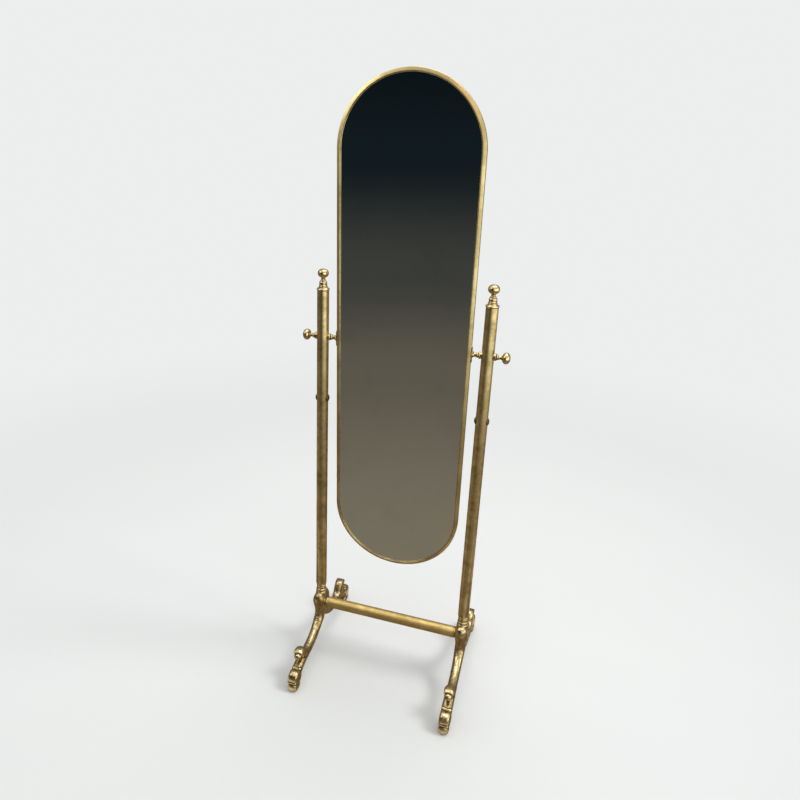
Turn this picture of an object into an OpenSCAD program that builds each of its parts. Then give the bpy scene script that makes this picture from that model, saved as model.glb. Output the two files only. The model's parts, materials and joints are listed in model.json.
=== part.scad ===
// Floor dressing mirror: a long round-ended mirror that tips between two
// brass posts, each on a cast foot with a front and a rear scroll leg.
// Millimetres, +Z up, the glass faces -Y, and the origin lies on the floor
// midway between the posts. The pieces of one side are drawn for the right
// and mirrored for the left.

/* [Mirror] */
// Outer width of the mirror frame
mirror_w = 362; // [300:1:440]
// Outer height of the mirror frame
mirror_h = 1345; // [1100:1:1620]
// How far the pivot line lies above the middle of the mirror
pivot_offset = 9.5; // [4:0.5:20]
// How far the top leans forward at rest, in degrees
mirror_lean = 2; // [0:0.5:10]
// Width of the frame's front face
frame_face = 11; // [9:0.5:16]
// Front-to-back depth of the frame
frame_d = 16; // [14:0.5:24]
// Thickness of the frame's outer wall
frame_wall = 3; // [2.5:0.5:4]
// Thickness of the frame's front lip
lip_t = 2; // [1.5:0.5:3]
// Thickness of the mirror glass
glass_t = 4; // [3:0.5:5]
// Thickness of the backing board
backing_t = 3; // [2:0.5:4]

/* [Posts] */
// Clear gap between the frame and each post
side_gap = 26; // [24:1:40]
// Outer diameter of the post tubes
post_d = 32; // [28:1:40]
// Wall of the post tubes
post_wall = 1.5; // [1:0.25:2.5]
// Height of the post's lower end above the floor
post_bottom_z = 222; // [215:1:260]
// Length of the post tubes
post_len = 920; // [760:1:1110]
// How far the pivot line lies below the top of the posts
pivot_below_top = 126; // [80:1:200]
// How far the domed plugs lie below the pivot line
plug_below_pivot = 178; // [120:1:260]
// Diameter of the domed plugs
plug_d = 20; // [14:1:24]

/* [Foot] */
// Distance from the post axis to the tip of a toe
foot_reach = 229; // [190:1:280]
// Diameter of the cast legs
leg_d = 26; // [22:1:28]
// Height of the lowest point of a leg's sweep, on its middle line
sweep_z = 62; // [56:1:72]
// Height of the scroll's end, on its middle line
scroll_z = 111; // [104:1:120]

/* [Stretcher] */
// Height of the stretcher's axis
stretcher_z = 153; // [148:1:160]
// Outer diameter of the stretcher tube
stretcher_d = 32; // [26:1:34]
// Wall of the stretcher tube
stretcher_wall = 1.5; // [1:0.25:2.5]

/* [Clamp] */
// Diameter of the ball of a clamp knob
knob_d = 30; // [24:1:36]
// Diameter of the threaded stud of a clamp knob
stud_d = 6; // [5:0.5:8]

/* [Hidden] */
// Clearance around studs, screws and plugs
fit = 0.05;
// Gap round the glass and the backing board
glass_gap = 0.5;
// Overlap that makes cuts run clean through a face
cut = 1;
// Number of segments for round parts
$fn = 64;

// Heights and places of the posts and the pivot line
post_r = post_d / 2;
post_x = mirror_w / 2 + side_gap + post_r;
post_top_z = post_bottom_z + post_len;
pivot_z = post_top_z - pivot_below_top;
plug_z = pivot_z - plug_below_pivot;

// Frame section, glass and backing board
frame_r = mirror_w / 2;
wall_in = frame_r - frame_wall;
straight_half = mirror_h / 2 - frame_r;
frame_front = -frame_d / 2;
corner_r = 1;
bead_r = 1.2;
bead_in = frame_face * 0.6;
glass_r = wall_in - glass_gap;
glass_front = frame_front + lip_t;
backing_front = glass_front + glass_t;

// Tabs and screws that hold the backing board
clip_front = backing_front + backing_t;
clip_rise = [-0.86, -0.3, 0.3, 0.86];
clip_w = 12;
clip_t = 1;
clip_reach = 16;
clip_screw_y = (clip_front + frame_d / 2) / 2 + 0.4;
clip_screw_r = 1.2;
clip_screw_bite = 2.2;
clip_head_r = 2.2;
clip_head_h = 1.6;
arc_sag = wall_in - sqrt(wall_in * wall_in - clip_w * clip_w / 4) + 0.02;

// Cast foot: the hub's core, its two swellings and the seat of the stretcher
hub_r = post_r + 3.2;
hub_core_r = post_r + 2.6;
hub_tail_r = hub_core_r - 7;
hub_tail_h = 40;
hub_neck_r = post_r - 0.4;
hub_neck_h = 8;
hub_bottom_z = 100;
hub_top_z = 193;
swell_z = 166;
swell_out = 14;
boss_r = 15;
boss_len = hub_r + 0.6;
ferrule_len = 4;
ferrule_r = stretcher_d / 2 + 0.4;
stretcher_half = post_x - boss_len - ferrule_len;

// Leg: middle line from the hub through the sweep to the scroll and the toe
leg_r = leg_d / 2;
sweep_s = foot_reach - 109;
root_z = 118;
sweep_drop = root_z - sweep_z;
sweep_r = (sweep_s * sweep_s + sweep_drop * sweep_drop) / (2 * sweep_drop);
root_angle = -90 - asin(sweep_s / sweep_r);
joint_s = 30;
joint_angle = -90 - asin((sweep_s - joint_s) / sweep_r);
scroll_r = foot_reach - 55 - sweep_s;
scroll_end_angle = -90 + acos(1 - (scroll_z - sweep_z) / scroll_r);
instep_s = foot_reach - 43;
instep_z = 48;
instep_angle = atan2(sweep_z - instep_z, instep_s - sweep_s);
instep_r = 34;
instep_cs = instep_s - instep_r * sin(instep_angle);
instep_cz = instep_z - instep_r * cos(instep_angle);
overlap = 6;
overlap_angle = 8;
scroll_bar_r = leg_r - 1;
neck_r = leg_r - 2;
lip_r = leg_r * 0.7;
lip_proud = 1.5;
toe_r = leg_r + 0.8;
toe_s = foot_reach - toe_r;
heel_r = leg_r - 1;
heel_s = foot_reach - 52;
sole_w = 24;
sole_proud = 0.5;
pearl_r = 9;
pearl_s = foot_reach - 46;
pearl_z = 80;

// Fasteners
leg_stud_d = 8;
leg_stud_half = 15;
post_stud_d = 10;
post_stud_low = 28;
post_stud_high = 30;
insert_len = 40;
tube_bolt_d = 8;
tube_bolt_head_d = 13;
tube_bolt_head_h = 8;
tube_bolt_grip = 30;
socket_r = 3.5;
socket_floor = 3;
spigot_len = 20;
plug_rise = 4;
plug_stem_len = 3;
plate_screw_r = 1.5;
plate_screw_z = 17;
plate_head_r = 2.8;
plate_head_h = 0.8;

// Pivot line, measured outward and inward from a post's axis
saddle_t = 5.5;
saddle_d = 22;
thrust_t = 1;
thrust_d = 17;
inner_saddle_t = 3;
inner_saddle_d = 19;
plate_t = 2;
plate_w = 12;
plate_h = 46;
spindle_len = side_gap - plate_t - inner_saddle_t;
knob_neck_r = 5.3;
knob_axial_r = 12;
knob_face = post_r + saddle_t + thrust_t;
knob_ball_out = post_r + 28.5;
stud_shy = 0.3;
stud_tip = side_gap + post_r + frame_wall - stud_shy;

// ---------------------------------------------------------------- helpers

// Puts a piece drawn for the right side on side 1 (right) or -1 (left)
module on_side(side) {
    if (side > 0) children();
    else mirror([1, 0, 0]) children();
}

// Turns a piece drawn along +Z to point along +X, out from the right post
module along_x(x, z) {
    translate([x, 0, z]) rotate([0, 90, 0]) children();
}

// Turns a leg drawn in the XY plane (x outward, y up) to the front or rear
module leg_plane(facing) {
    rotate([0, 0, facing * 90]) rotate([90, 0, 0]) children();
}

// A stretch of round bar bent about (cx, cy), between two angles
module bend(cx, cy, bend_r, bar_r, from, to) {
    translate([cx, cy, 0]) rotate([0, 0, from])
        rotate_extrude(angle = to - from, $fn = 96)
            translate([bend_r, 0]) circle(r = bar_r, $fn = 32);
}

// A straight round bar in the leg plane, from one point to another
module bar(x1, y1, x2, y2, bar_r) {
    translate([x1, y1, 0]) rotate([0, 0, atan2(y2 - y1, x2 - x1)])
        rotate([0, 90, 0])
            cylinder(h = norm([x2 - x1, y2 - y1]), r = bar_r);
}

// Half outline of a turned bun: a ball that is wider than it is tall
module bun_profile(radial_r, axial_r) {
    intersection() {
        union() {
            translate([radial_r - axial_r, 0]) circle(r = axial_r);
            translate([0, -axial_r]) square([radial_r - axial_r, 2 * axial_r]);
        }
        translate([0, -axial_r]) square([radial_r, 2 * axial_r]);
    }
}

// Half outline of a turned bead round an axis
module bead_profile(radius, half_t, y) {
    translate([radius - half_t, y]) circle(r = half_t, $fn = 32);
    translate([0, y - half_t]) square([radius - half_t, 2 * half_t]);
}

// A plate with the mirror's long round-ended outline, front face at y
module long_plate(end_r, y, thickness) {
    translate([0, y + thickness, 0]) rotate([90, 0, 0]) {
        for (end = [-1, 1])
            translate([0, end * straight_half, 0])
                cylinder(h = thickness, r = end_r, $fn = 128);
        translate([-end_r, -straight_half, 0])
            cube([2 * end_r, 2 * straight_half, thickness]);
    }
}

// The mirror's own frame: its pivot line at the given height, leaning
module in_mirror() {
    translate([0, 0, pivot_z]) rotate([mirror_lean, 0, 0]) children();
}

// Places a piece on the inner wall of the frame, x outward along the wall's
// normal: four on each long side and one at the top and the bottom, where
// the flat foot of a tab stands off the curved wall by the arc's sag
module at_each_clip() {
    translate([0, 0, -pivot_offset]) {
        for (side = [0, 180])
            for (rise = clip_rise)
                translate([0, 0, rise * straight_half]) rotate([0, 0, side])
                    translate([wall_in, 0, 0]) mirror_side(side) children();
        for (end = [-1, 1])
            translate([0, 0, end * (straight_half + wall_in - arc_sag)])
                rotate([0, -end * 90, 0]) children();
    }
}

// Turning a clip to the other side also turns its back, so it is flipped
module mirror_side(side) {
    if (side > 0) mirror([0, 1, 0]) children();
    else children();
}

// ------------------------------------------------------------- cast feet

// Middle-line bores for the studs that hold the two legs
module leg_stud_bore(radius, half_length) {
    translate([sweep_s + sweep_r * cos(joint_angle),
               sweep_z + sweep_r + sweep_r * sin(joint_angle), 0])
        rotate([0, 0, joint_angle + 90]) rotate([0, 90, 0])
            translate([0, 0, -half_length])
                cylinder(h = 2 * half_length, r = radius);
}

module hub() {
    color("darkgoldenrod") difference() {
        union() {
            translate([0, 0, hub_bottom_z])
                cylinder(h = hub_tail_h, r1 = hub_tail_r, r2 = hub_core_r);
            translate([0, 0, hub_bottom_z + hub_tail_h])
                cylinder(h = hub_top_z - hub_neck_h - hub_bottom_z - hub_tail_h,
                         r = hub_core_r);
            translate([0, 0, hub_top_z - hub_neck_h])
                cylinder(h = hub_neck_h, r1 = hub_core_r, r2 = hub_neck_r);
            for (facing = [-1, 1]) {
                translate([0, facing * swell_out, swell_z]) sphere(r = hub_r);
                leg_plane(facing)
                    bend(sweep_s, sweep_z + sweep_r, sweep_r, leg_r,
                         root_angle, joint_angle);
            }
            along_x(-boss_len, stretcher_z) cylinder(h = boss_len, r = boss_r);
        }
        along_x(-boss_len - cut, stretcher_z)
            cylinder(h = boss_len + hub_r + 2 * cut, r = tube_bolt_d / 2 + fit);
        along_x(hub_core_r - tube_bolt_head_h, stretcher_z)
            cylinder(h = tube_bolt_head_h + hub_r, r = tube_bolt_head_d / 2 + fit);
        translate([0, 0, hub_top_z - post_stud_low])
            cylinder(h = post_stud_low + cut, r = post_stud_d / 2 + fit);
        for (facing = [-1, 1])
            leg_plane(facing)
                leg_stud_bore(leg_stud_d / 2 + fit, leg_stud_half + fit);
    }
}

module leg() {
    color("goldenrod") difference() {
        union() {
            bend(sweep_s, sweep_z + sweep_r, sweep_r, leg_r, joint_angle, -90);
            bend(sweep_s, sweep_z + scroll_r, scroll_r, scroll_bar_r,
                 -90 - overlap_angle, scroll_end_angle);
            translate([sweep_s + scroll_r * cos(scroll_end_angle),
                       sweep_z + scroll_r + scroll_r * sin(scroll_end_angle),
                       -leg_r - lip_proud])
                cylinder(h = leg_d + 2 * lip_proud, r = lip_r);
            bar(sweep_s - overlap, sweep_z, instep_s, instep_z, neck_r);
            bend(instep_cs, instep_cz, instep_r, leg_r, 15, 90 - instep_angle);
            translate([toe_s, toe_r + sole_proud, 0]) sphere(r = toe_r);
            translate([heel_s, heel_r + sole_proud, -sole_w / 2])
                cylinder(h = sole_w, r = heel_r);
            translate([heel_s, 0, -sole_w / 2])
                cube([toe_s - heel_s, heel_r, sole_w]);
            translate([pearl_s, pearl_z, 0]) sphere(r = pearl_r);
        }
        leg_stud_bore(leg_stud_d / 2 + fit, leg_stud_half + fit);
    }
}

module place_leg(side, facing) {
    translate([side * post_x, 0, 0]) leg_plane(facing) leg();
}

module leg_studs() {
    color("silver")
        for (side = [-1, 1], facing = [-1, 1])
            translate([side * post_x, 0, 0]) leg_plane(facing)
                leg_stud_bore(leg_stud_d / 2, leg_stud_half);
}

// ------------------------------------------------------- posts and finials

// Turned collar under a post: a flat flange at each end and three rings
module base_collar() {
    height = post_bottom_z - hub_top_z;
    flange_r = post_r - 0.6;
    flange_h = 2.5;
    low_ring_z = 6.5;
    low_ring_half_t = 2.4;
    ring_half_t = 2;
    color("gold") translate([0, 0, hub_top_z]) difference() {
        rotate_extrude() {
            square([post_r - 3.5, height]);
            for (z = [0, height - flange_h])
                translate([0, z]) square([flange_r, flange_h]);
            bead_profile(post_r - 0.8, low_ring_half_t, low_ring_z);
            for (rise = [0.52, 0.78])
                bead_profile(post_r - 1.4, ring_half_t, height * rise);
        }
        translate([0, 0, -cut])
            cylinder(h = height + 2 * cut, r = post_stud_d / 2 + fit);
    }
}

module post_studs() {
    low = hub_top_z - post_stud_low;
    color("silver")
        for (side = [-1, 1])
            translate([side * post_x, 0, low])
                cylinder(h = post_bottom_z + post_stud_high - low, r = post_stud_d / 2);
}

module post_inserts() {
    color("dimgray")
        for (side = [-1, 1])
            translate([side * post_x, 0, post_bottom_z]) difference() {
                cylinder(h = insert_len, r = post_r - post_wall - fit);
                translate([0, 0, -cut])
                    cylinder(h = post_stud_high + cut, r = post_stud_d / 2 + fit);
            }
}

module post() {
    color("darkgoldenrod") translate([0, 0, post_bottom_z]) difference() {
        cylinder(h = post_len, r = post_r);
        translate([0, 0, -cut])
            cylinder(h = post_len + 2 * cut, r = post_r - post_wall);
        along_x(-post_d, pivot_z - post_bottom_z)
            cylinder(h = 2 * post_d, r = stud_d / 2 + fit);
        along_x(-post_d, plug_z - post_bottom_z)
            cylinder(h = 2 * post_d, r = plug_d / 4 + fit);
    }
}

// Turned finial with its spigot inside the tube: flange, step, ring, waist,
// bulge, bead, neck and ball, from the top of the post upward
module finial() {
    flange_half_t = 3.2;
    step_h = 9.5;
    ring_z = 10.8;
    bulge_z = 20;
    bead_z = 27.6;
    ball_z = 46;
    color("goldenrod") translate([0, 0, post_top_z]) rotate_extrude() {
        translate([0, -spigot_len]) square([post_r - post_wall - fit, spigot_len]);
        bead_profile(post_r + 1.2, flange_half_t, flange_half_t);
        translate([0, flange_half_t]) square([post_r - 2, step_h - flange_half_t]);
        bead_profile(12.2, 1.4, ring_z);
        translate([0, step_h]) square([9.8, bulge_z - step_h]);
        translate([0, bulge_z]) bun_profile(12, 5.8);
        bead_profile(7.6, 1.8, bead_z);
        translate([0, bulge_z]) square([5.4, ball_z - bulge_z]);
        translate([0, ball_z]) bun_profile(14.6, 11);
    }
}

// Domed plugs in the spare cross holes, on the inner and outer side
module post_plugs() {
    cap_r = (plug_d * plug_d / 4 + plug_rise * plug_rise) / (2 * plug_rise);
    stem_r = plug_d / 4;
    stem_in = post_r - post_wall - plug_stem_len;
    color("gold")
        for (turn = [0, 180])
            rotate([0, 0, turn]) along_x(0, plug_z) difference() {
                union() {
                    intersection() {
                        translate([0, 0, post_r + plug_rise - cap_r]) sphere(r = cap_r);
                        cylinder(h = 2 * post_r, r = plug_d / 2);
                    }
                    translate([0, 0, stem_in])
                        cylinder(h = post_r + plug_rise / 2 - stem_in, r = stem_r);
                }
                difference() {
                    rotate([0, -90, 0]) cylinder(h = plug_d * 2, r = post_r, center = true);
                    cylinder(h = 2 * post_r, r = stem_r);
                }
                cylinder(h = stem_in, r = plug_d);
            }
}

// ------------------------------------------------------------- stretcher

module stretcher() {
    color("goldenrod") along_x(-stretcher_half, stretcher_z) difference() {
        cylinder(h = 2 * stretcher_half, r = stretcher_d / 2);
        translate([0, 0, -cut])
            cylinder(h = 2 * stretcher_half + 2 * cut, r = stretcher_d / 2 - stretcher_wall);
    }
}

module ferrule() {
    color("gold") along_x(stretcher_half, stretcher_z) difference() {
        cylinder(h = ferrule_len, r = ferrule_r);
        translate([0, 0, -cut])
            cylinder(h = ferrule_len + 2 * cut, r = tube_bolt_d / 2 + fit);
    }
}

module stretcher_inserts() {
    color("dimgray")
        for (side = [-1, 1])
            on_side(side)
                along_x(stretcher_half - insert_len, stretcher_z) difference() {
                    cylinder(h = insert_len, r = stretcher_d / 2 - stretcher_wall - fit);
                    translate([0, 0, insert_len - tube_bolt_grip])
                        cylinder(h = tube_bolt_grip + cut, r = tube_bolt_d / 2 + fit);
                }
}

// Socket screws that run through the hubs and the ferrules into the stretcher
module stretcher_bolts() {
    head_x = post_x + hub_core_r - tube_bolt_head_h;
    tip_x = stretcher_half - tube_bolt_grip + 2;
    color("silver")
        for (side = [-1, 1])
            on_side(side) {
                along_x(tip_x, stretcher_z)
                    cylinder(h = head_x - tip_x, r = tube_bolt_d / 2);
                along_x(head_x, stretcher_z) difference() {
                    cylinder(h = tube_bolt_head_h - 1, r = tube_bolt_head_d / 2);
                    translate([0, 0, socket_floor])
                        cylinder(h = tube_bolt_head_h, r = socket_r, $fn = 6);
                }
            }
}

// ---------------------------------------------------------------- mirror

// Section of the frame: outer wall, front lip and the thin raised bead
module frame_section() {
    translate([wall_in, frame_front + corner_r])
        square([frame_wall, frame_d - corner_r]);
    translate([wall_in, frame_front])
        square([frame_wall - corner_r, 2 * corner_r]);
    translate([frame_r - corner_r, frame_front + corner_r])
        circle(r = corner_r, $fn = 24);
    translate([frame_r - frame_face, frame_front])
        square([frame_face - corner_r, lip_t]);
    translate([frame_r - bead_in, frame_front + bead_r / 3])
        circle(r = bead_r, $fn = 24);
}

module mirror_frame() {
    color("darkkhaki") in_mirror() difference() {
        translate([0, 0, -pivot_offset]) {
            for (side = [-1, 1])
                on_side(side)
                    translate([0, 0, -straight_half])
                        linear_extrude(height = 2 * straight_half) frame_section();
            for (end = [-1, 1])
                translate([0, 0, end * straight_half]) rotate([-90, 0, 0])
                    rotate([0, 0, end > 0 ? 180 : 0])
                        rotate_extrude(angle = 180, $fn = 160) frame_section();
        }
        for (side = [-1, 1])
            on_side(side)
                along_x(wall_in - cut, 0)
                    cylinder(h = frame_wall + 2 * cut, r = stud_d / 2 + fit);
        plate_screw_bores();
        at_each_clip() clip_screw(fit);
    }
}

module mirror_glass() {
    color("lightsteelblue") in_mirror()
        translate([0, 0, -pivot_offset]) long_plate(glass_r, glass_front, glass_t);
}

module backing_board() {
    color("saddlebrown") in_mirror()
        translate([0, 0, -pivot_offset]) long_plate(glass_r, backing_front, backing_t);
}

// A bent tab that holds the board down, with its foot on the frame's wall
module board_clip() {
    difference() {
        union() {
            translate([-clip_reach, clip_front, -clip_w / 2])
                cube([clip_reach, clip_t, clip_w]);
            translate([-clip_t, clip_front, -clip_w / 2])
                cube([clip_t, frame_d / 2 - clip_front - 0.5, clip_w]);
        }
        clip_screw(fit);
    }
}

// Small screw through a tab into the frame's wall, grown by a clearance
module clip_screw(grow) {
    translate([-clip_t - clip_head_h - grow, clip_screw_y, 0]) rotate([0, 90, 0])
        cylinder(h = clip_head_h + grow, r = clip_head_r + grow, $fn = 24);
    translate([-clip_t - cut, clip_screw_y, 0]) rotate([0, 90, 0])
        cylinder(h = clip_t + cut + clip_screw_bite + grow, r = clip_screw_r + grow,
                 $fn = 24);
}

module board_clips() {
    color("gold") in_mirror() at_each_clip() board_clip();
}

module clip_screws() {
    color("silver") in_mirror() at_each_clip() clip_screw(0);
}

// Oblong plate on the frame's side, where the spindle bears
module pivot_plate() {
    half = plate_h / 2 - plate_w / 2;
    color("gold") in_mirror() difference() {
        along_x(frame_r, 0) {
            for (end = [-1, 1])
                translate([end * half, 0, 0]) cylinder(h = plate_t, r = plate_w / 2);
            translate([-half, -plate_w / 2, 0]) cube([2 * half, plate_w, plate_t]);
        }
        along_x(frame_r - cut, 0)
            cylinder(h = plate_t + 2 * cut, r = stud_d / 2 + fit);
        plate_screw_bores();
    }
}

// Screw through the pivot plate into the frame's wall, grown by a clearance
module plate_screw_shape(grow) {
    along_x(wall_in + 0.5 - grow, 0)
        cylinder(h = frame_wall + plate_t + grow, r = plate_screw_r + grow, $fn = 24);
    along_x(frame_r + plate_t - cut, 0)
        cylinder(h = cut + plate_head_h + grow, r = plate_head_r + grow, $fn = 24);
}

module plate_screw_bores() {
    for (side = [-1, 1], end = [-1, 1])
        on_side(side) translate([0, 0, end * plate_screw_z]) plate_screw_shape(fit);
}

module plate_screws() {
    color("silver") in_mirror()
        for (side = [-1, 1], end = [-1, 1])
            on_side(side) translate([0, 0, end * plate_screw_z]) plate_screw_shape(0);
}

// Turned spindle between the pivot plate and the inner saddle washer: a
// hollow flare, a neck, a small bead and the bead that meets the washer
module spindle() {
    flare_r = 9.4;
    flare_len = 8;
    flare_lip = 0.8;
    neck_r = 5.4;
    small_half_t = 2.2;
    end_half_t = 1.9;
    small_z = spindle_len - 7.2;
    color("goldenrod") in_mirror() along_x(frame_r + plate_t, 0) difference() {
        rotate_extrude() {
            square([neck_r, spindle_len]);
            difference() {
                square([flare_r, flare_len]);
                translate([neck_r + flare_len, flare_len + flare_lip])
                    circle(r = flare_len, $fn = 48);
            }
            bead_profile(neck_r + 2, small_half_t, small_z);
            bead_profile(inner_saddle_d / 2, end_half_t, spindle_len - end_half_t);
        }
        translate([0, 0, -cut])
            cylinder(h = spindle_len + 2 * cut, r = stud_d / 2 + fit);
    }
}

// ----------------------------------------------- saddle washers and clamps

// A washer hollowed to sit on the round post; out is 1 outside, -1 inside
module saddle(out, diameter, thickness) {
    seat = 0.02;
    rim_half_t = 1.6;
    body_r = diameter / 2 - rim_half_t / 2;
    inner = sqrt(post_r * post_r - body_r * body_r) - cut;
    color("gold") translate([post_x, 0, pivot_z]) rotate([0, out * 90, 0]) difference() {
        rotate_extrude() {
            bead_profile(diameter / 2, rim_half_t, post_r + thickness - rim_half_t);
            translate([0, inner])
                square([body_r, post_r + thickness - rim_half_t - inner]);
        }
        cylinder(h = 2 * post_d, r = stud_d / 2 + fit);
        rotate([0, 90, 0])
            cylinder(h = 2 * diameter, r = post_r + seat, center = true);
    }
}

module thrust_washer() {
    color("ivory") in_mirror() along_x(post_x + post_r + saddle_t, 0) difference() {
        cylinder(h = thrust_t, r = thrust_d / 2);
        translate([0, 0, -cut])
            cylinder(h = thrust_t + 2 * cut, r = stud_d / 2 + fit);
    }
}

// Clamp knob: a bead, a neck and a cone that swells into the ball
module knob() {
    ball = knob_ball_out - knob_face;
    bead_half_t = 1.7;
    cone_low = ball - knob_axial_r - 4;
    cone_high = ball - knob_axial_r / 2;
    cone_r = knob_neck_r + 5.4;
    color("goldenrod") in_mirror() along_x(post_x + knob_face, 0) difference() {
        rotate_extrude() {
            bead_profile(knob_neck_r + 2.1, bead_half_t, bead_half_t);
            square([knob_neck_r, ball]);
            polygon([[0, cone_low], [knob_neck_r, cone_low], [cone_r, cone_high],
                     [0, cone_high]]);
            translate([0, ball]) bun_profile(knob_d / 2, knob_axial_r);
        }
        translate([0, 0, -cut]) cylinder(h = ball + cut, r = stud_d / 2 + fit);
    }
}

// Threaded stud from the knob's ball through post and spindle to the frame
module knob_stud() {
    inner = post_x - stud_tip;
    color("silver") in_mirror() along_x(inner, 0)
        cylinder(h = post_x + knob_ball_out - stud_shy - inner, r = stud_d / 2);
}

// -------------------------------------------------------------- the nodes

on_side(-1) translate([post_x, 0, 0]) hub();  // left_hub
translate([post_x, 0, 0]) hub();  // right_hub
place_leg(-1, -1);  // left_front_leg
place_leg(-1, 1);  // left_rear_leg
place_leg(1, -1);  // right_front_leg
place_leg(1, 1);  // right_rear_leg
leg_studs();
translate([-post_x, 0, 0]) base_collar();  // left_base_collar
translate([post_x, 0, 0]) base_collar();  // right_base_collar
post_studs();
post_inserts();
translate([-post_x, 0, 0]) post();  // left_post
translate([post_x, 0, 0]) post();  // right_post
translate([-post_x, 0, 0]) finial();  // left_finial
translate([post_x, 0, 0]) finial();  // right_finial
translate([-post_x, 0, 0]) post_plugs();  // left_post_plugs
translate([post_x, 0, 0]) post_plugs();  // right_post_plugs
on_side(-1) saddle(-1, inner_saddle_d, inner_saddle_t);  // left_inner_saddle
saddle(-1, inner_saddle_d, inner_saddle_t);  // right_inner_saddle
on_side(-1) saddle(1, saddle_d, saddle_t);  // left_outer_saddle
saddle(1, saddle_d, saddle_t);  // right_outer_saddle
stretcher();
on_side(-1) ferrule();  // left_ferrule
ferrule();  // right_ferrule
stretcher_inserts();
stretcher_bolts();
mirror_frame();
mirror_glass();
backing_board();
board_clips();
clip_screws();
on_side(-1) pivot_plate();  // left_pivot_plate
pivot_plate();  // right_pivot_plate
plate_screws();
on_side(-1) spindle();  // left_spindle
spindle();  // right_spindle
on_side(-1) thrust_washer();  // left_thrust_washer
thrust_washer();  // right_thrust_washer
on_side(-1) knob();  // left_knob
knob();  // right_knob
on_side(-1) knob_stud();  // left_knob_stud
knob_stud();  // right_knob_stud
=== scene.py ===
# %% [markdown]
# # A floor dressing mirror in aged brass
# A long round-ended mirror tips between two brass posts, each on a cast foot with a
# front and a rear scroll leg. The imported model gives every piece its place. This lesson
# adds what the eye sees: turned and cast surfaces, brass that has aged, and soft light.

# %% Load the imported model
import json
import math
import bpy
import numpy as np
from mathutils import Matrix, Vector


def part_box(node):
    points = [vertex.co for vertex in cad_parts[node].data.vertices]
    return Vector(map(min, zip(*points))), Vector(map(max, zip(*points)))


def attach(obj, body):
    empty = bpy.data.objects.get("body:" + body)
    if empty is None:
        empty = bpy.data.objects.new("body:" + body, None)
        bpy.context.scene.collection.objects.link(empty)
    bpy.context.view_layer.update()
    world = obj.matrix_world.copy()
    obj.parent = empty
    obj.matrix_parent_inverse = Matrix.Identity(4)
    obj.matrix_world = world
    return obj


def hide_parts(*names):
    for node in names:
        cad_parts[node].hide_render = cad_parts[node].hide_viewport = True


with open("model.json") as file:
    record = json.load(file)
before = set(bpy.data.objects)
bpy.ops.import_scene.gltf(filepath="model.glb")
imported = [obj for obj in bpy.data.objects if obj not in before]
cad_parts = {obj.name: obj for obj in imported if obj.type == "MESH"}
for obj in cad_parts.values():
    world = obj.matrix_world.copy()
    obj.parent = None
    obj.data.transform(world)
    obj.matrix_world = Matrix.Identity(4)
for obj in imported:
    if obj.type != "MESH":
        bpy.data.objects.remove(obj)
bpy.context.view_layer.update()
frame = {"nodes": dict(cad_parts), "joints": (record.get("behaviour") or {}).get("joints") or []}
print("pieces in the packed model:", len(frame["nodes"]))

# %% [markdown]
# Everything is measured in metres from the floor midway between the posts. The posts and
# the pivot line give the driving sizes, and MM turns the millimetres of a workshop drawing
# into metres.

# %% Read the driving sizes from the model
MM = 0.001
post_low, post_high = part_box("right_post")
POST_X = (post_low.x + post_high.x) / 2
POST_R = (post_high.x - post_low.x) / 2
POST_R_MM = POST_R / MM
POST_BOTTOM = post_low.z
POST_TOP = post_high.z
PIVOT_Z = frame["joints"][0]["pos_m"][2]
SIDES = (("left", -1), ("right", 1))
print(f"posts {POST_X:.4f} m out, radius {POST_R:.4f} m, pivot line {PIVOT_Z:.4f} m up")

# %% [markdown]
# ## Camera
# The photograph was taken from standing height, a little to the right and looking down.
# The camera is placed by its eye point and three turns. The lens and the shift come from
# the focal length and the optical centre, both in pixels of an 800 pixel frame.

# %% Place the camera
FRAME_PIXELS = 800
FOCAL_PIXELS = 643.2
CENTRE_X = 380.3
CENTRE_Y = 368.1
SENSOR = 36.0
EYE = np.array([0.4012, -1.5583, 1.5071])
YAW = math.radians(16.42)
PITCH = math.radians(19.04)
ROLL = math.radians(2.12)


def camera_axes(yaw, pitch, roll):
    """Right, up and forward: forward turns left by yaw and down by pitch, then the
    right and up vectors turn about it by roll."""
    forward = np.array([-math.sin(yaw) * math.cos(pitch),
                        math.cos(yaw) * math.cos(pitch), -math.sin(pitch)])
    level = np.array([math.cos(yaw), math.sin(yaw), 0.0])
    above = np.cross(level, forward)
    right = math.cos(roll) * level + math.sin(roll) * above
    up = math.cos(roll) * above - math.sin(roll) * level
    return right, up, forward


def put(item, x_axis, y_axis, z_axis, origin):
    """Links an object to the scene, its axes and its origin as its matrix's columns."""
    bpy.context.scene.collection.objects.link(item)
    matrix = np.eye(4)
    matrix[:3] = np.stack([x_axis, y_axis, z_axis, origin], axis=-1)
    item.matrix_world = Matrix(matrix.tolist())


def add_camera():
    """A camera at the eye point that looks along its own -Z."""
    right, up, forward = camera_axes(YAW, PITCH, ROLL)
    data = bpy.data.cameras.new("camera")
    data.sensor_width = SENSOR
    data.lens = FOCAL_PIXELS / FRAME_PIXELS * SENSOR
    data.shift_x = (FRAME_PIXELS / 2 - CENTRE_X) / FRAME_PIXELS
    data.shift_y = (CENTRE_Y - FRAME_PIXELS / 2) / FRAME_PIXELS
    camera = bpy.data.objects.new("camera", data)
    put(camera, right, up, -forward, EYE)
    bpy.context.scene.camera = camera
    return camera


camera = add_camera()
print("lens", round(camera.data.lens, 2), "mm")

# %% [markdown]
# ## Nodes in short form
# A material is a small program of nodes. A few helpers keep it readable: they add a node
# and fill its inputs, do arithmetic, mix colours, and make a node group with named inputs
# and outputs, so that an effect is built once and used in every brass.

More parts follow.
